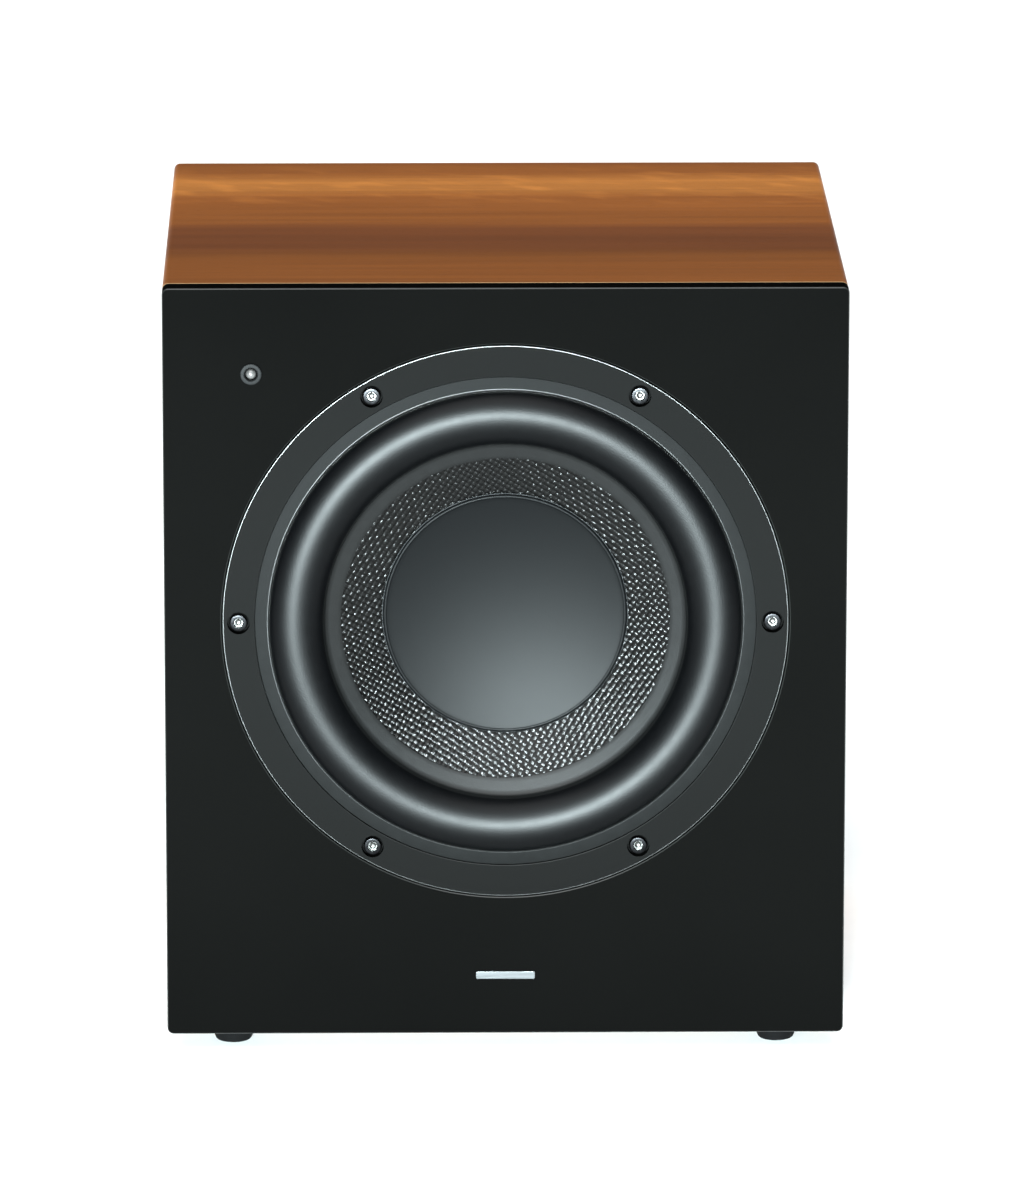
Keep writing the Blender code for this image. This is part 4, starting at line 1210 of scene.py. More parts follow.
def woven_sheet(sizes):
    """A plain weave laid on the cone: a grid turned to the strands, each of its cells the
    rounded top of one strand, trimmed to a ring whose borders turn down into the cone."""
    cell_steps = 6
    pitch = sizes.strand_pitch
    step = pitch / cell_steps
    inner, outer = CAP_RADIUS - 1.2 * MM, LIP_INNER + 1.6 * MM
    cells = math.ceil(outer / pitch)
    side = 2 * cells * cell_steps
    bm = bmesh.new()
    bmesh.ops.create_grid(bm, x_segments=side, y_segments=side, size=side * step / 2)
    spare = [
        v for v in bm.verts
        if not inner - step < math.hypot(v.co.x, v.co.y) < outer + step
    ]
    bmesh.ops.delete(bm, geom=spare, context="VERTS")
    across = pitch / 2 / math.sin(sizes.strand_round)
    along = pitch / 2 / math.sin(sizes.strand_crimp)
    heights = {}
    generator = random.Random(7)
    for i in range(-cells, cells):
        for j in range(-cells, cells):
            heights[i, j] = (generator.gauss(0, 0.015), generator.gauss(0, 0.015))

    def top(u, v, i, j):
        """The height of the strand that shows in a cell."""
        du, dv = u - (i + 0.5) * pitch, v - (j + 0.5) * pitch
        first, second = (along, across) if (i + j) % 2 == 0 else (across, along)
        lean_u, lean_v = heights.get((i, j), (0, 0))
        fall = first - math.sqrt(first**2 - du**2) + second - math.sqrt(second**2 - dv**2)
        return -fall + lean_u * du + lean_v * dv

    for vert in bm.verts:
        u, v = vert.co.x, vert.co.y
        small = step * 0.1
        cells_here = {
            (math.floor((u + a) / pitch), math.floor((v + b) / pitch))
            for a in (-small, small) for b in (-small, small)
        }
        vert.co.z = min(top(u, v, i, j) for i, j in cells_here)
    swung(bm, math.degrees(sizes.strand_angle))
    for vert in bm.verts:
        radius = math.hypot(vert.co.x, vert.co.y)
        vert.co.z += cone_top(radius) + GAP
    borders = [e for e in bm.edges if e.is_boundary]
    skirt = bmesh.ops.extrude_edge_only(bm, edges=borders)["geom"]
    for vert in (item for item in skirt if isinstance(item, bmesh.types.BMVert)):
        vert.co.z -= 1.1 * MM
    return bm


class SUBWOOFER_OT_cap(bpy.types.Operator):
    """Dished dust cap and the bead of glue round its rim"""

    bl_idname = "subwoofer.dust_cap"
    bl_label = "Dust Cap"

    def execute(self, context):
        thick = 0.9 * MM
        rim = cone_top(CAP_RADIUS) + GAP + thick / 2
        edge = CAP_RADIUS - 1.5 * MM
        bead = 0.75 * MM
        line = [(CAP_RADIUS, rim)] + arc((CAP_RADIUS - bead, rim + 0.1 * MM), bead, 10, 125, 6)
        steps = 28
        for i in range(steps):
            radius = edge * (1 - i / steps)
            line.append((radius, rim + 0.55 * MM - CAP_DISH * (1 - (radius / edge) ** 2)))
        outline = ribbon(line, thick)
        half = len(line)
        floor = rim + 0.55 * MM - CAP_DISH
        outline = [(0, floor - thick / 2)] + outline[:half][::-1] + outline[half:][::-1]
        outline += [(0, floor + thick / 2)]
        material = cap_finish(context.scene.subwoofer_colours)
        bm = turned(outline, closed=False)
        deliver("dished_cap", bm, material, DRIVER, "cone_assembly", ["dust_cap"], 40)
        glue = Finish("clear_glue", (0.02, 0.021, 0.022), 0.08, coat_weight=1.0)
        lumps = glue.noise(glue.here(), 420, 3)
        glue.set("Roughness", 0.04 + lumps * 0.1)
        glue.bump(lumps, 0.3 * MM)
        at = CAP_RADIUS + 0.2 * MM
        ring = turned(arc((at, cone_top(at) + 0.45 * MM), 0.45 * MM, 0, 345, 12))
        deliver("cap_glue_bead", ring, glue.material, DRIVER, "cone_assembly", (), 60)
        return {"FINISHED"}


class SUBWOOFER_OT_motor(bpy.types.Operator):
    """Magnet, steel plates, coil and former"""

    bl_idname = "subwoofer.motor"
    bl_label = "Motor"

    def execute(self, context):
        centre = (DRIVER.translation.x, DRIVER.translation.z)
        steel = ringed_metal("plated_steel", (0.56, 0.55, 0.5), centre)
        ferrite = grained("ferrite", (0.045, 0.045, 0.047), 0.55, 500, 0.12, 0.3)
        foil = ringed_metal("former_foil", (0.78, 0.77, 0.75), centre, 0.22)
        copper = wound_wire("coil_copper", (0.72, 0.3, 0.14), (0, 0, 0), "along", 2600)
        rings = (
            ("front_plate", steel, "zinc_steel", 28.2, 60, -88.5, -80.5, 1),
            ("magnet_ring", ferrite, "ferrite", 31, 72, -110.8, -88.8, 1.5),
        )
        for node, material, slot, inner, outer, low, high, ease in rings:
            profile = in_mm((inner, high), (outer, high), (outer, low), (inner, low))
            bm = softened(turned(profile, 128), ease * MM, 3)
            deliver(f"{node}_turned", bm, material, DRIVER, replaces=[node])
        pole = in_mm(
            (24.4, -80.5), (24.4, -111.1), (58, -111.1), (58, -119.1), (9, -119.1), (9, -80.5)
        )
        bm = softened(turned(pole, 128), 1.2 * MM, 3)
        deliver("pole_yoke_turned", bm, steel, DRIVER, replaces=["pole_yoke"])
        moving = (
            ("voice_coil_former", foil, "former_foil", 25.25, 25.75, -96, -36),
            ("voice_coil", copper, "copper", 26.05, 27.25, -96, -72),
        )
        for node, material, slot, inner, outer, low, high in moving:
            bm = turned(in_mm((inner, high), (outer, high), (outer, low), (inner, low)), 96)
            deliver(f"{node}_wound", bm, material, DRIVER, "cone_assembly", [node])
        return {"FINISHED"}


# ---- light and badge ----


class SUBWOOFER_OT_light(bpy.types.Operator):
    """Power light: a satin bezel and a lens with a painted highlight"""

    bl_idname = "subwoofer.power_light"
    bl_label = "Power Light"

    def execute(self, context):
        colours = context.scene.subwoofer_colours
        where = spot(FRONT, on_front("led_bezel"))
        metal = grained(
            "bezel_satin", tint(tuple(colours.metal), 0.01), 0.5, 900, 0.03,
            specular_ior_level=0.035,
        )
        outer, face, back = 5.1 * MM, 1.3 * MM, -9 * MM
        ease = 0.5 * MM
        stem, bore = LIGHT_HOLE - 0.4 * MM, LENS_RADIUS + GAP
        crown = arc((outer - ease, face - ease), ease, 0, 90, 5)
        profile = [(stem, back), (stem, GAP), (outer, GAP)] + crown
        profile += [(bore + ease, face), (bore, face - ease), (bore, back)]
        deliver("light_bezel", turned(profile, 96), metal, where, replaces=["led_bezel"])
        dome = arc((0, -0.7 * MM), LENS_RADIUS, 0, 90, 12)
        lens = turned([(0, back), (LENS_RADIUS, back)] + dome, 64, False)
        deliver("light_lens", lens, lens_with_painted_highlight(), where, replaces=["led_lens"])
        return {"FINISHED"}


class SUBWOOFER_OT_badge(bpy.types.Operator):
    """Plain metal bar"""

    bl_idname = "subwoofer.badge"
    bl_label = "Badge Bar"

    def execute(self, context):
        colours = context.scene.subwoofer_colours
        size = span("badge_plate")
        low = -(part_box("badge_plate")[1].y - FRONT_Y)
        bm = softened(block(size.x, size.z, low, low + size.y, 0.7 * MM), 0.25 * MM, 3)
        metal = brushed("badge_satin", tint(tuple(colours.metal), 0.14), 0.34, (60, 2200, 2200))
        where = spot(FRONT, on_front("badge_plate"))
        deliver("badge_bar", bm, metal, where, replaces=["badge_plate"])
        return {"FINISHED"}


# ---- amplifier ----


class SUBWOOFER_OT_amp_plate(bpy.types.Operator):
    """Amplifier plate with its screws and printed scale marks"""

    bl_idname = "subwoofer.amp_plate"
    bl_label = "Amplifier Plate"

    def execute(self, context):
        size = span("amp_plate")
        bm = block(size.x, size.z, PLATE_BACK, PLATE_FACE, 4 * MM)
        front = [e for e in bm.edges if all(v.co.z > PLATE_FACE - MERGE for v in e.verts)]
        bmesh.ops.bevel(
            bm, geom=front, offset=0.5 * MM, affect="EDGES", segments=2, profile=0.5, material=-1
        )
        low, high = -5 * MM, 10 * MM
        tools = []
        for node in ("gain_knob", "crossover_knob"):
            at = on_amp(node)
            tools.append(moved(rod(4.7 * MM, low, high), at.x, at.y))
        for x, y in jack_places():
            tools.append(moved(rod(4.5 * MM, low, high), x, y))
        for node, wide, tall in (
            ("phase_switch_frame", 11.6, 5.6), ("power_switch_frame", 14.6, 5.6),
            ("rocker_frame", 15.6, 21.6), ("iec_inlet", 27.6, 31.6),
        ):
            at = on_amp(node)
            tools.append(moved(block(wide * MM, tall * MM, low, high, 0.5 * MM), at.x, at.y))
        bm = carved(bm, *tools)
        coat = grained("plate_black_coat", (0.014, 0.0145, 0.015), 0.42, 1500, 0.07, 0.15)
        deliver("amp_plate_coated", bm, coat, AMP, replaces=["amp_plate"])
        self.add_screws(size)
        self.add_marks()
        return {"FINISHED"}

    def add_screws(self, size):
        """Pan-head screws with a cross recess, along the plate's edges."""
        steel = ringed_metal("plate_screw_black", (0.1, 0.1, 0.105), (0, 0), 0.3)
        x, y = size.x / 2 - 7 * MM, size.z / 2 - 7 * MM
        places = [(a * x, b * y) for a in (-1, 1) for b in (-1, -0.34, 0.34, 1)] + [(0, y), (0, -y)]
        heads = []
        for number, (px, py) in enumerate(places):
            pan = in_mm((0, 2.3), (1.6, 2.2), (2.8, 1.7), (3.5, 0.7), (3.6, 0.05), (0, 0.05))
            slots = [block(*size, 1.1 * MM, 4 * MM) for size in in_mm((4, 0.8), (0.8, 4))]
            head = carved(turned(pan, 48, False), combined(*slots, "UNION"))
            heads.append(moved(swung(head, 37 * number), px, py, PLATE_FACE))
        deliver("amp_plate_screws", merged(heads), steel, AMP)

    def add_marks(self):
        """Scale ticks round the knobs, dots at the switches, and lines that group the sockets."""
        ink = grained("white_ink", (0.7, 0.7, 0.69), 0.6, 800, 0.01, 0.05)
        low, high = PLATE_FACE, PLATE_FACE + 0.06 * MM
        marks = []
        for node in ("gain_knob", "crossover_knob"):
            at = on_amp(node)
            for number in range(11):
                turn = 240 - 30 * number
                long = 3.2 * MM if number in (0, 5, 10) else 1.9 * MM
                tick = moved(block(long, 0.5 * MM, low, high), 11.4 * MM + long / 2)
                marks.append(moved(swung(tick, turn), at.x, at.y))
        for node, reach in (("phase_switch_frame", 9), ("power_switch_frame", 11)):
            at = on_amp(node)
            for side in (-1, 1):
                dot = extruded(round_pattern(20, 0.8 * MM), low, high)
                marks.append(moved(dot, at.x + side * reach * MM, at.y))
        jacks = on_amp("rca_jack_block")
        wide, tall, line = 48 * MM, 24 * MM, 0.8 * MM
        room = block(wide - line, tall - line, -1, 1, 2.6 * MM)
        border = carved(block(wide, tall, low, high, 3 * MM), room)
        marks.append(moved(border, jacks.x, jacks.y))
        deliver("amp_plate_marks", merged(marks), ink, AMP)


def jack_places():
    """Where the two jacks' axes stand on the amplifier plate."""
    at = on_amp("rca_jack_block")
    return [(at.x + side * 11 * MM, at.y) for side in (-1, 1)]


class SUBWOOFER_OT_heat_sink(bpy.types.Operator):
    """Comb of upright fins, black anodised"""

    bl_idname = "subwoofer.heat_sink"
    bl_label = "Heat Sink"

    def execute(self, context):
        size = span("heat_sink")
        count = context.scene.subwoofer_amplifier.fins
        fin = 2 * MM
        pitch = (size.x - fin) / (count - 1)
        outline = [(size.x / 2, 0)]
        for i in range(count):
            right = size.x / 2 - i * pitch
            outline += arc((right - fin / 2, size.y - fin / 2), fin / 2, 0, 180, 6)
            if i < count - 1:
                outline += [(right - fin, 3 * MM), (right - pitch, 3 * MM)]
        outline += [(-size.x / 2, 0)]
        bm = softened(extruded(outline, -size.z / 2, size.z / 2), 0.25 * MM, 2, 60)
        stand = Matrix.Translation((0, 0, PLATE_FACE + GAP)) @ Matrix.Rotation(math.radians(90), 4, "X")
        anodised = Finish("black_anodised", (0.02, 0.02, 0.021), 0.38, 0.6)
        lines = anodised.noise(anodised.here(scale=(2600, 2600, 8)), 1.0, 2)
        anodised.set("Base Color", anodised.mix(lines, (0.012, 0.012, 0.013), (0.04, 0.04, 0.042)))
        anodised.set("Roughness", 0.3 + lines * 0.15)
        anodised.bump(lines, 0.03 * MM)
        deliver(
            "finned_heat_sink", bm, anodised.material, spot(AMP, on_amp("heat_sink")) @ stand,
            replaces=["heat_sink"],
        )
        return {"FINISHED"}


class SUBWOOFER_OT_knobs(bpy.types.Operator):
    """Fluted knobs with pointers, their shafts and the controls behind the plate"""

    bl_idname = "subwoofer.knobs"
    bl_label = "Knobs"

    def execute(self, context):
        flutes = context.scene.subwoofer_amplifier.knob_flutes
        plastic = grained("knob_plastic", (0.015, 0.015, 0.016), 0.45, 1600, 0.04)
        ink = grained("pointer_ink", (0.75, 0.75, 0.74), 0.55, 900, 0.01, 0.05)
        for name, body in (("gain", "gain_control"), ("crossover", "crossover_control")):
            at = on_amp(f"{name}_knob")
            where = spot(AMP, at)
            steps = flutes * 8
            outline = []
            for i in range(steps):
                turn = 2 * math.pi * i / steps
                groove = max(0.0, math.cos(turn * flutes)) ** 2 * 0.55 * MM
                radius = KNOB_RADIUS - groove
                outline.append((radius * math.cos(turn), radius * math.sin(turn)))
            knob = extruded(outline, KNOB_BASE, KNOB_TOP - 1.2 * MM)
            top = [f for f in knob.faces if all(v.co.z > KNOB_TOP - 1.3 * MM for v in f.verts)]
            for inset, rise in ((0.35, 0.75), (0.9, 0.45)):
                bmesh.ops.inset_region(knob, faces=top, thickness=inset * MM, depth=0)
                bmesh.ops.translate(
                    knob, verts=list({v for f in top for v in f.verts}), vec=(0, 0, rise * MM)
                )
            knob = carved(knob, rod(3.3 * MM, 0, 13.6 * MM, 40))
            node = f"{name}_knob"
            deliver(f"{name}_fluted_knob", knob, plastic, where, body, [node], 35)
            line = block(0.9 * MM, 6.2 * MM, KNOB_TOP - 0.5 * MM, KNOB_TOP + 0.04 * MM)
            line = moved(softened(line, 0.1 * MM), y=4.4 * MM)
            deliver(f"{name}_pointer", line, ink, where, body, ())
            self.add_control(name, body, at, where)
        return {"FINISHED"}

    def add_control(self, name, body, at, where):
        """The turning spindle, and the potentiometer that it stands in."""
        steel = ringed_metal(f"{name}_control_steel", (0.6, 0.59, 0.56), (at.x, at.y), 0.3)
        shaft = softened(rod(3 * MM, -8 * MM, 13.3 * MM), 0.3 * MM)
        deliver(f"{name}_spindle", shaft, steel, where, body, [f"{name}_shaft"])
        pot = in_mm((3.3, 4.6), (4.4, 4.6), (4.4, 1.5), (8.5, 1.5), (8.5, -8.5), (3.3, -8.5))
        pot = softened(turned(pot, 64), 0.35 * MM)
        deliver(f"{name}_potentiometer", pot, steel, where, replaces=[f"{name}_pot"])


class SUBWOOFER_OT_switches(bpy.types.Operator):
    """Ribbed slide switches and the mains rocker"""

    bl_idname = "subwoofer.switches"
    bl_label = "Switches"

    def execute(self, context):
        plastic = grained("switch_plastic", (0.017, 0.017, 0.018), 0.4, 1500, 0.04)
        for node, body in (("phase_slider", "phase_switch"), ("power_slider", "power_mode_switch")):
            size = span(node)
            top = PLATE_FACE + 1.8 * MM
            low = top - size.y
            ribs = [
                moved(block(0.45 * MM, 10 * MM, top - 0.6 * MM, top + 1 * MM), x * MM)
                for x in (-2, -1, 0, 1, 2)
            ]
            bm = carved(softened(block(size.x, size.z, low, top), 0.3 * MM), *ribs)
            where = spot(AMP, on_amp(node))
            deliver(f"{node}_ribbed", bm, plastic, where, body, [node])
        where = spot(AMP, on_amp("rocker_frame"))
        face = PLATE_FACE + GAP + 2 * MM
        bezel = softened(block(19 * MM, 25 * MM, PLATE_FACE + GAP, face, 1 * MM), 0.5 * MM, 3)
        shell = block(15 * MM, 21 * MM, -14 * MM, face - 1 * MM)
        room = block(12 * MM, 18 * MM, -11 * MM, face + 5 * MM, 0.6 * MM)
        bm = carved(combined(bezel, shell, "UNION"), room)
        deliver("rocker_bezel", bm, plastic, where, replaces=["rocker_frame"])
        dip = arc((0, 24.6 * MM), 23.4 * MM, -69.8, -110.2, 12)
        bm = extruded(in_mm((-8.1, -2.5), (8.1, -2.5)) + dip, -5.5 * MM, 5.5 * MM)
        stand = Matrix(((0, 0, 1), (1, 0, 0), (0, 1, 0))).to_4x4()
        bmesh.ops.transform(bm, matrix=stand, verts=bm.verts)
        softened(bm, 0.35 * MM, 3)
        pivot = where @ Matrix.Translation((0, 0, face - 1.5 * MM))
        tilt = pivot @ Matrix.Rotation(math.radians(10), 4, "X")
        deliver("mains_rocker_cap", bm, plastic, tilt, "mains_switch", ["mains_rocker"])
        paint = grained("rocker_dot_red", (0.5, 0.03, 0.02), 0.4, 900, 0.01, 0.1)
        dot = extruded(round_pattern(28, 1.1 * MM), 1.5 * MM, 1.95 * MM)
        deliver("rocker_dot", moved(dot, 0, 4.6 * MM), paint, tilt, "mains_switch", ())
        return {"FINISHED"}


class SUBWOOFER_OT_sockets(bpy.types.Operator):
    """Phono jacks, and the mains inlet with its fuse drawer"""

    bl_idname = "subwoofer.sockets"
    bl_label = "Sockets"

    def execute(self, context):
        self.add_jacks()
        self.add_inlet()
        return {"FINISHED"}

    def add_jacks(self):
        """Two phono jacks, each of a sleeve, an insulator, a contact and a coloured ring."""
        plastic = grained("jack_plastic", (0.015, 0.015, 0.016), 0.45, 1300, 0.05)
        where = spot(AMP, on_amp("rca_jack_block"))
        base = softened(block(44 * MM, 16 * MM, -8.5 * MM, 1.5 * MM), 0.5 * MM)
        deliver("jack_base", base, plastic, where, replaces=["rca_jack_block"])
        colours = {"white": (0.75, 0.74, 0.71), "red": (0.5, 0.02, 0.015)}
        sleeve = in_mm((3.1, 1.6), (3.1, 12.6), (3.4, 12.8), (3.9, 12.8), (4.2, 12.5), (4.2, 1.6))
        core = in_mm((1.7, 1.6), (1.7, 12), (2.1, 12.3), (3.08, 12.3), (3.08, 1.6))
        pin = in_mm((1.35, 1.6), (1.35, 11), (1.65, 11), (1.65, 1.6))
        collar = in_mm((4.25, 4.85), (4.25, 6.3), (5.6, 6.3), (5.9, 6), (5.9, 4.85))
        for (x, y), (name, shade) in zip(jack_places(), colours.items()):
            centre = (-x, AMP.translation.z + y)
            nickel = ringed_metal(f"jack_nickel_{name}", (0.72, 0.7, 0.66), centre, 0.22)
            insert = grained(f"jack_insert_{name}", shade, 0.4, 1000, 0.03, 0.08)
            for part, profile, steps, material, slot in (
                ("sleeve", sleeve, 64, nickel, "zinc_steel"),
                ("insulator", core, 48, insert, "black_plastic"),
                ("contact", pin, 32, nickel, "zinc_steel"),
                ("ring", collar, 64, insert, "black_plastic"),
            ):
                axis = spot(AMP, Vector((x, y)))
                deliver(f"jack_{part}_{name}", turned(profile, steps), material, axis)

    def add_inlet(self):
        """The mains inlet's moulding and blades, and the drawer under them."""
        plastic = grained("inlet_plastic", (0.016, 0.016, 0.017), 0.38, 1200, 0.05)
        where = spot(AMP, on_amp("iec_inlet"))
        face = PLATE_FACE + GAP + 2.5 * MM
        bezel = softened(block(32 * MM, 36 * MM, PLATE_FACE + GAP, face, 1.5 * MM), 0.6 * MM, 3)
        shell = block(27 * MM, 31 * MM, -22 * MM, face - 1 * MM)
        wide, tall, cut_corner = 12.2 * MM, 8.3 * MM, 3.5 * MM
        mouth = [(wide, -tall), (wide, tall - cut_corner), (wide - cut_corner, tall),
                 (cut_corner - wide, tall), (-wide, tall - cut_corner), (-wide, -tall)]
        mouth = moved(extruded(mouth, face - 17 * MM, face + 5 * MM), 0, 5 * MM)
        pocket = moved(block(23 * MM, 8 * MM, face - 21.9 * MM, face + 5 * MM), 0, -9.5 * MM)
        bm = carved(combined(bezel, shell, "UNION"), mouth, pocket)
        deliver("inlet_moulding", bm, plastic, where, replaces=["iec_inlet"])
        brass = brushed("blade_brass", (0.72, 0.58, 0.32), 0.28, (900, 900, 900))
        blades = []
        for x, y in ((-7, 3.5), (7, 3.5), (0, 7)):
            blade = softened(block(2 * MM, 4 * MM, face - 17.2 * MM, face - 6 * MM), 0.45 * MM, 2)
            blades.append(moved(blade, x * MM, y * MM))
        deliver("inlet_blades", merged(blades), brass, where)
        slide = spot(AMP, on_amp("fuse_drawer"))
        top = face + 1 * MM
        bm = softened(block(22.4 * MM, 7.4 * MM, face - 20 * MM, top), 0.35 * MM)
        seat = moved(block(21.2 * MM, 12 * MM, face - 17 * MM, face - 11 * MM), 0, 3 * MM)
        notch = moved(block(7 * MM, 2.4 * MM, face - 0.6 * MM, face + 5 * MM), 0, 3.2 * MM)
        deliver("fuse_drawer_moulding", carved(bm, seat, notch), plastic, slide, "fuse_holder",
                ["fuse_drawer"])
        self.add_fuse()

    def add_fuse(self):
        """A glass fuse: metal ends on a glass tube."""
        at = middle("fuse")
        along = Matrix.Translation(at) @ Matrix.Rotation(math.radians(90), 4, "Y")
        glass = Finish("fuse_glass", (0.75, 0.8, 0.78), 0.05, coat_weight=0.5)
        haze = glass.noise(glass.here(), 300, 2)
        glass.set("Base Color", glass.mix(haze, (0.6, 0.66, 0.64), (0.85, 0.88, 0.87)))
        bm = rod(2.3 * MM, -7.4 * MM, 7.4 * MM)
        deliver("fuse_tube", bm, glass.material, along, "fuse_holder", ["fuse"])
        ends = [
            swung(softened(rod(2.5 * MM, 7.5 * MM, 10 * MM), 0.4 * MM), turn, "X")
            for turn in (180, 0)
        ]
        metal = brushed("fuse_cap_nickel", (0.7, 0.69, 0.66), 0.25, (900, 900, 900))
        deliver("fuse_caps", merged(ends), metal, along, "fuse_holder", ())


class SUBWOOFER_OT_electronics(bpy.types.Operator):
    """Wound transformer and the components that stand on the amplifier's board"""

    bl_idname = "subwoofer.electronics"
    bl_label = "Electronics"

    def execute(self, context):
        where = spot(AMP, on_amp("transformer"))
        soft = 7 * MM
        low, high = -38 * MM, -2 * MM
        inner, outer = 12 * MM, 42 * MM
        profile = arc((outer - soft, high - soft), soft, 90, 0, 6)
        profile += arc((outer - soft, low + soft), soft, 0, -90, 6)
        profile += arc((inner + soft, low + soft), soft, -90, -180, 6)
        profile += arc((inner + soft, high - soft), soft, 180, 90, 6)
        tape = wound_wire("transformer_tape", (0.62, 0.36, 0.08), middle("transformer"), "round", 90)
        deliver("wound_transformer", turned(profile, 144), tape, where, replaces=["transformer"])
        sleeve = grained("capacitor_sleeve", (0.01, 0.015, 0.05), 0.35, 900, 0.02, 0.2)
        cans = []
        for x, y, radius, high in ((-70, -100, 9, 17), (-48, -100, 9, 17), (-72, 4, 6, 12), (-56, 4, 6, 12)):
            can = softened(rod(radius * MM, 0, high * MM, 40), 0.8 * MM, 3)
            cans.append(moved(can, x * MM, y * MM, BOARD_TOP))
        deliver("board_capacitors", merged(cans), sleeve, AMP)
        chip = grained("chip_epoxy", (0.02, 0.02, 0.02), 0.6, 1500, 0.04)
        boxes = []
        for x, y, wide, tall, high in (
            (-20, -96, 20, 15, 12), (4, -98, 12, 9, 6), (-10, -76, 14, 8, 3), (10, 4, 16, 8, 5),
            (50, -12, 18, 12, 10), (74, -4, 10, 14, 7), (-30, 6, 12, 7, 3),
        ):
            box = softened(block(wide * MM, tall * MM, 0, high * MM), 0.4 * MM)
            boxes.append(moved(box, x * MM, y * MM, BOARD_TOP))
        deliver("board_parts", merged(boxes), chip, AMP)
        return {"FINISHED"}


class SUBWOOFER_OT_inner_finishes(bpy.types.Operator):
    """Finishes for the frame's own nodes, which keep their shapes"""

    bl_idname = "subwoofer.inner_finishes"
    bl_label = "Inner Finishes"

    def execute(self, context):
        board = pressed_board("fibreboard", (0.38, 0.27, 0.16))
        plastic = grained("terminal_plastic", (0.03, 0.028, 0.025), 0.5, 900, 0.06)
        zinc = brushed("switch_zinc", (0.55, 0.55, 0.52), 0.35, (900, 900, 900))
        green = circuit_board()
        paint = grained("rear_paint", (0.012, 0.012, 0.0125), 0.6, 1000, specular_ior_level=0.3)
        foam = grained("seal_foam", (0.025, 0.025, 0.025), 0.95, 800, 0.3)
        sleeve = grained("cable_sleeve", (0.02, 0.02, 0.022), 0.4, 700, 0.08)
        finishes = {
            "rear_panel": paint, "inner_baffle": board, "window_brace": board,
            "led_board": green, "amp_board": green, "terminal_strip": plastic,
            "phase_switch_frame": zinc, "power_switch_frame": zinc, "amp_gasket": foam,
            "speaker_cable": sleeve,
        }
        for node, material in finishes.items():
            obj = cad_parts[node]
            for slot in obj.material_slots:
                slot.material = material
        return {"FINISHED"}


# ---- stage ----


class SUBWOOFER_OT_stage(bpy.types.Operator):
    """Pale floor, soft lights and the camera"""

    bl_idname = "subwoofer.stage"
    bl_label = "Stage"

    def execute(self, context):
        settings = context.scene.subwoofer_stage
        self.add_camera(context.scene, settings)
        self.add_floor(context.scene, settings)
        self.add_skies(context.scene, settings)
        self.add_front_light(context.scene, settings)
        self.add_world(context.scene)
        context.scene.view_settings.view_transform = "Standard"
        return {"FINISHED"}

    def add_camera(self, scene, settings):
        camera = bpy.data.cameras.new("camera")
        camera.sensor_width = 36
        camera.lens = settings.lens
        camera.clip_end = 50
        obj = bpy.data.objects.new("camera", camera)
        scene.collection.objects.link(obj)
        obj.matrix_world = (
            Matrix.Translation(settings.camera_at)
            @ Matrix.Rotation(-settings.camera_turn, 4, "Z")
            @ Matrix.Rotation(math.pi / 2 - settings.camera_down, 4, "X")
            @ Matrix.Rotation(settings.camera_roll, 4, "Z")
        )
        scene.camera = obj

    def add_floor(self, scene, settings):
        bm = bmesh.new()
        bmesh.ops.create_grid(bm, x_segments=1, y_segments=1, size=30)
        mesh = bpy.data.meshes.new("studio_floor")
        bm.to_mesh(mesh)
        bm.free()
        obj = bpy.data.objects.new("studio_floor", mesh)
        scene.collection.objects.link(obj)
        finish = Finish("floor_paper", tuple(settings.floor), 0.9, specular_ior_level=0.0)
        fibres = finish.noise(finish.here(), 60, 3)
        shade = tuple(settings.floor)
        finish.set("Base Color", finish.mix(fibres, tint(shade, 0.985), tint(shade, 1.015)))
        mesh.materials.append(finish.material)

    def add_skies(self, scene, settings):
        """Two broad soft lights from above, the stronger one a little in front."""
        for name, share, lean, turn in (("front_sky", 0.8, 35, -8), ("back_sky", 0.27, 24, 170)):
            sun = bpy.data.lights.new(name, "SUN")
            sun.energy = settings.top_light * share
            sun.angle = math.radians(SKY_SPREAD)
            obj = bpy.data.objects.new(name, sun)
            obj.rotation_euler = (math.radians(lean), 0, math.radians(turn))
            scene.collection.objects.link(obj)

    def add_front_light(self, scene, settings):
        light = bpy.data.lights.new("front_light", "AREA")
        light.shape = "RECTANGLE"
        light.size, light.size_y = FRONT_LIGHT_SIZE
        light.energy = settings.front_light
        light.color = (0.83, 0.97, 1.0)
        light.spread = math.radians(FRONT_LIGHT_SPREAD)
        obj = bpy.data.objects.new("front_light", light)
        scene.collection.objects.link(obj)
        obj.location = FRONT_LIGHT_AT
        aim = Vector(FRONT_LIGHT_AIM) - Vector(FRONT_LIGHT_AT)
        obj.rotation_euler = aim.to_track_quat("-Z", "Y").to_euler()
        obj.visible_camera = False

    def add_world(self, scene):
        """A pale band low down that fades to a dim grey above."""
        world = bpy.data.worlds.new("studio")
        world.use_nodes = True
        nodes = Nodes(world.node_tree)
        up = nodes.parts(nodes.add("ShaderNodeTexCoord", output="Generated"))[2]
        shade = nodes.ramp(up, (0.05, (0.85, 0.85, 0.85)), (0.09, (0.03, 0.03, 0.03)))
        nodes.feed(world.node_tree.nodes["Background"].inputs["Color"], shade)
        scene.world = world


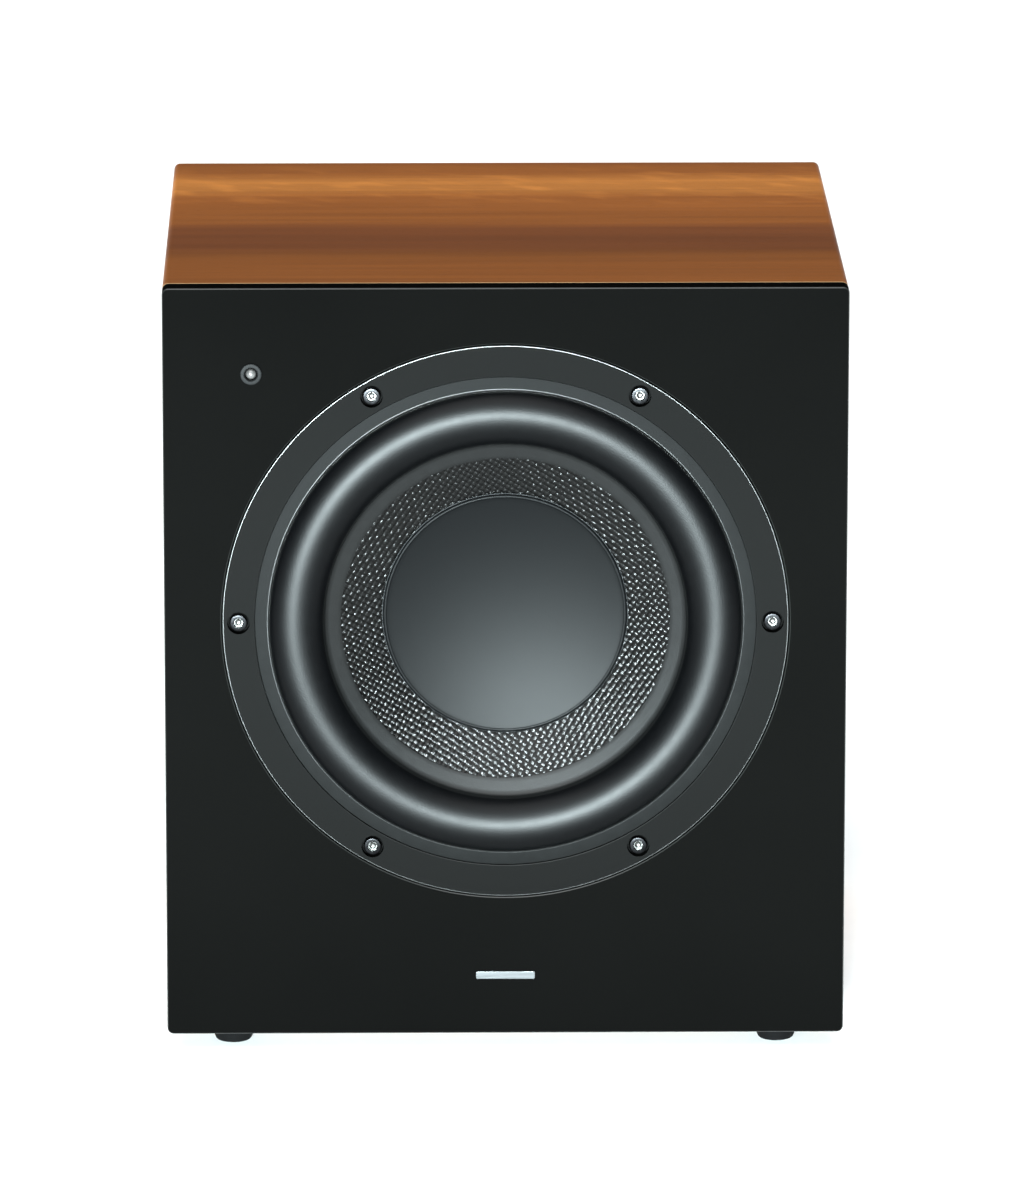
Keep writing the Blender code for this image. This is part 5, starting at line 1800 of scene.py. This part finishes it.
# ---- add-on ----

OPERATORS = (
    SUBWOOFER_OT_cabinet, SUBWOOFER_OT_baffle, SUBWOOFER_OT_feet, SUBWOOFER_OT_wadding,
    SUBWOOFER_OT_frame, SUBWOOFER_OT_screws, SUBWOOFER_OT_surround, SUBWOOFER_OT_suspension,
    SUBWOOFER_OT_cone, SUBWOOFER_OT_cap, SUBWOOFER_OT_motor, SUBWOOFER_OT_light,
    SUBWOOFER_OT_badge, SUBWOOFER_OT_amp_plate, SUBWOOFER_OT_heat_sink, SUBWOOFER_OT_knobs,
    SUBWOOFER_OT_switches, SUBWOOFER_OT_sockets, SUBWOOFER_OT_electronics,
    SUBWOOFER_OT_inner_finishes, SUBWOOFER_OT_stage,
)
GROUPS = {
    "subwoofer_cabinet": CabinetSizes, "subwoofer_driver": DriverSizes,
    "subwoofer_amplifier": AmplifierSizes, "subwoofer_colours": Colours,
    "subwoofer_stage": StageSettings,
}


class SUBWOOFER_PT_panel(bpy.types.Panel):
    """Sizes, colours and pieces of the subwoofer"""

    bl_idname = "SUBWOOFER_PT_panel"
    bl_label = "Subwoofer"
    bl_space_type = "VIEW_3D"
    bl_region_type = "UI"
    bl_category = "Subwoofer"

    def draw(self, context):
        for name, group in GROUPS.items():
            box = self.layout.box()
            box.label(text=name.split("_")[1].capitalize())
            for field in group.__annotations__:
                box.prop(getattr(context.scene, name), field)
        for operator in OPERATORS:
            self.layout.operator(operator.bl_idname)


def register():
    for cls in (*GROUPS.values(), *OPERATORS, SUBWOOFER_PT_panel):
        bpy.utils.register_class(cls)
    for name, group in GROUPS.items():
        setattr(bpy.types.Scene, name, PointerProperty(type=group))


def unregister():
    for name in GROUPS:
        delattr(bpy.types.Scene, name)
    for cls in (SUBWOOFER_PT_panel, *reversed(OPERATORS), *GROUPS.values()):
        bpy.utils.unregister_class(cls)


def main():
    register()
    for operator in OPERATORS:
        group, name = operator.bl_idname.split(".")
        getattr(getattr(bpy.ops, group), name)()


if __name__ == "__main__":
    main()
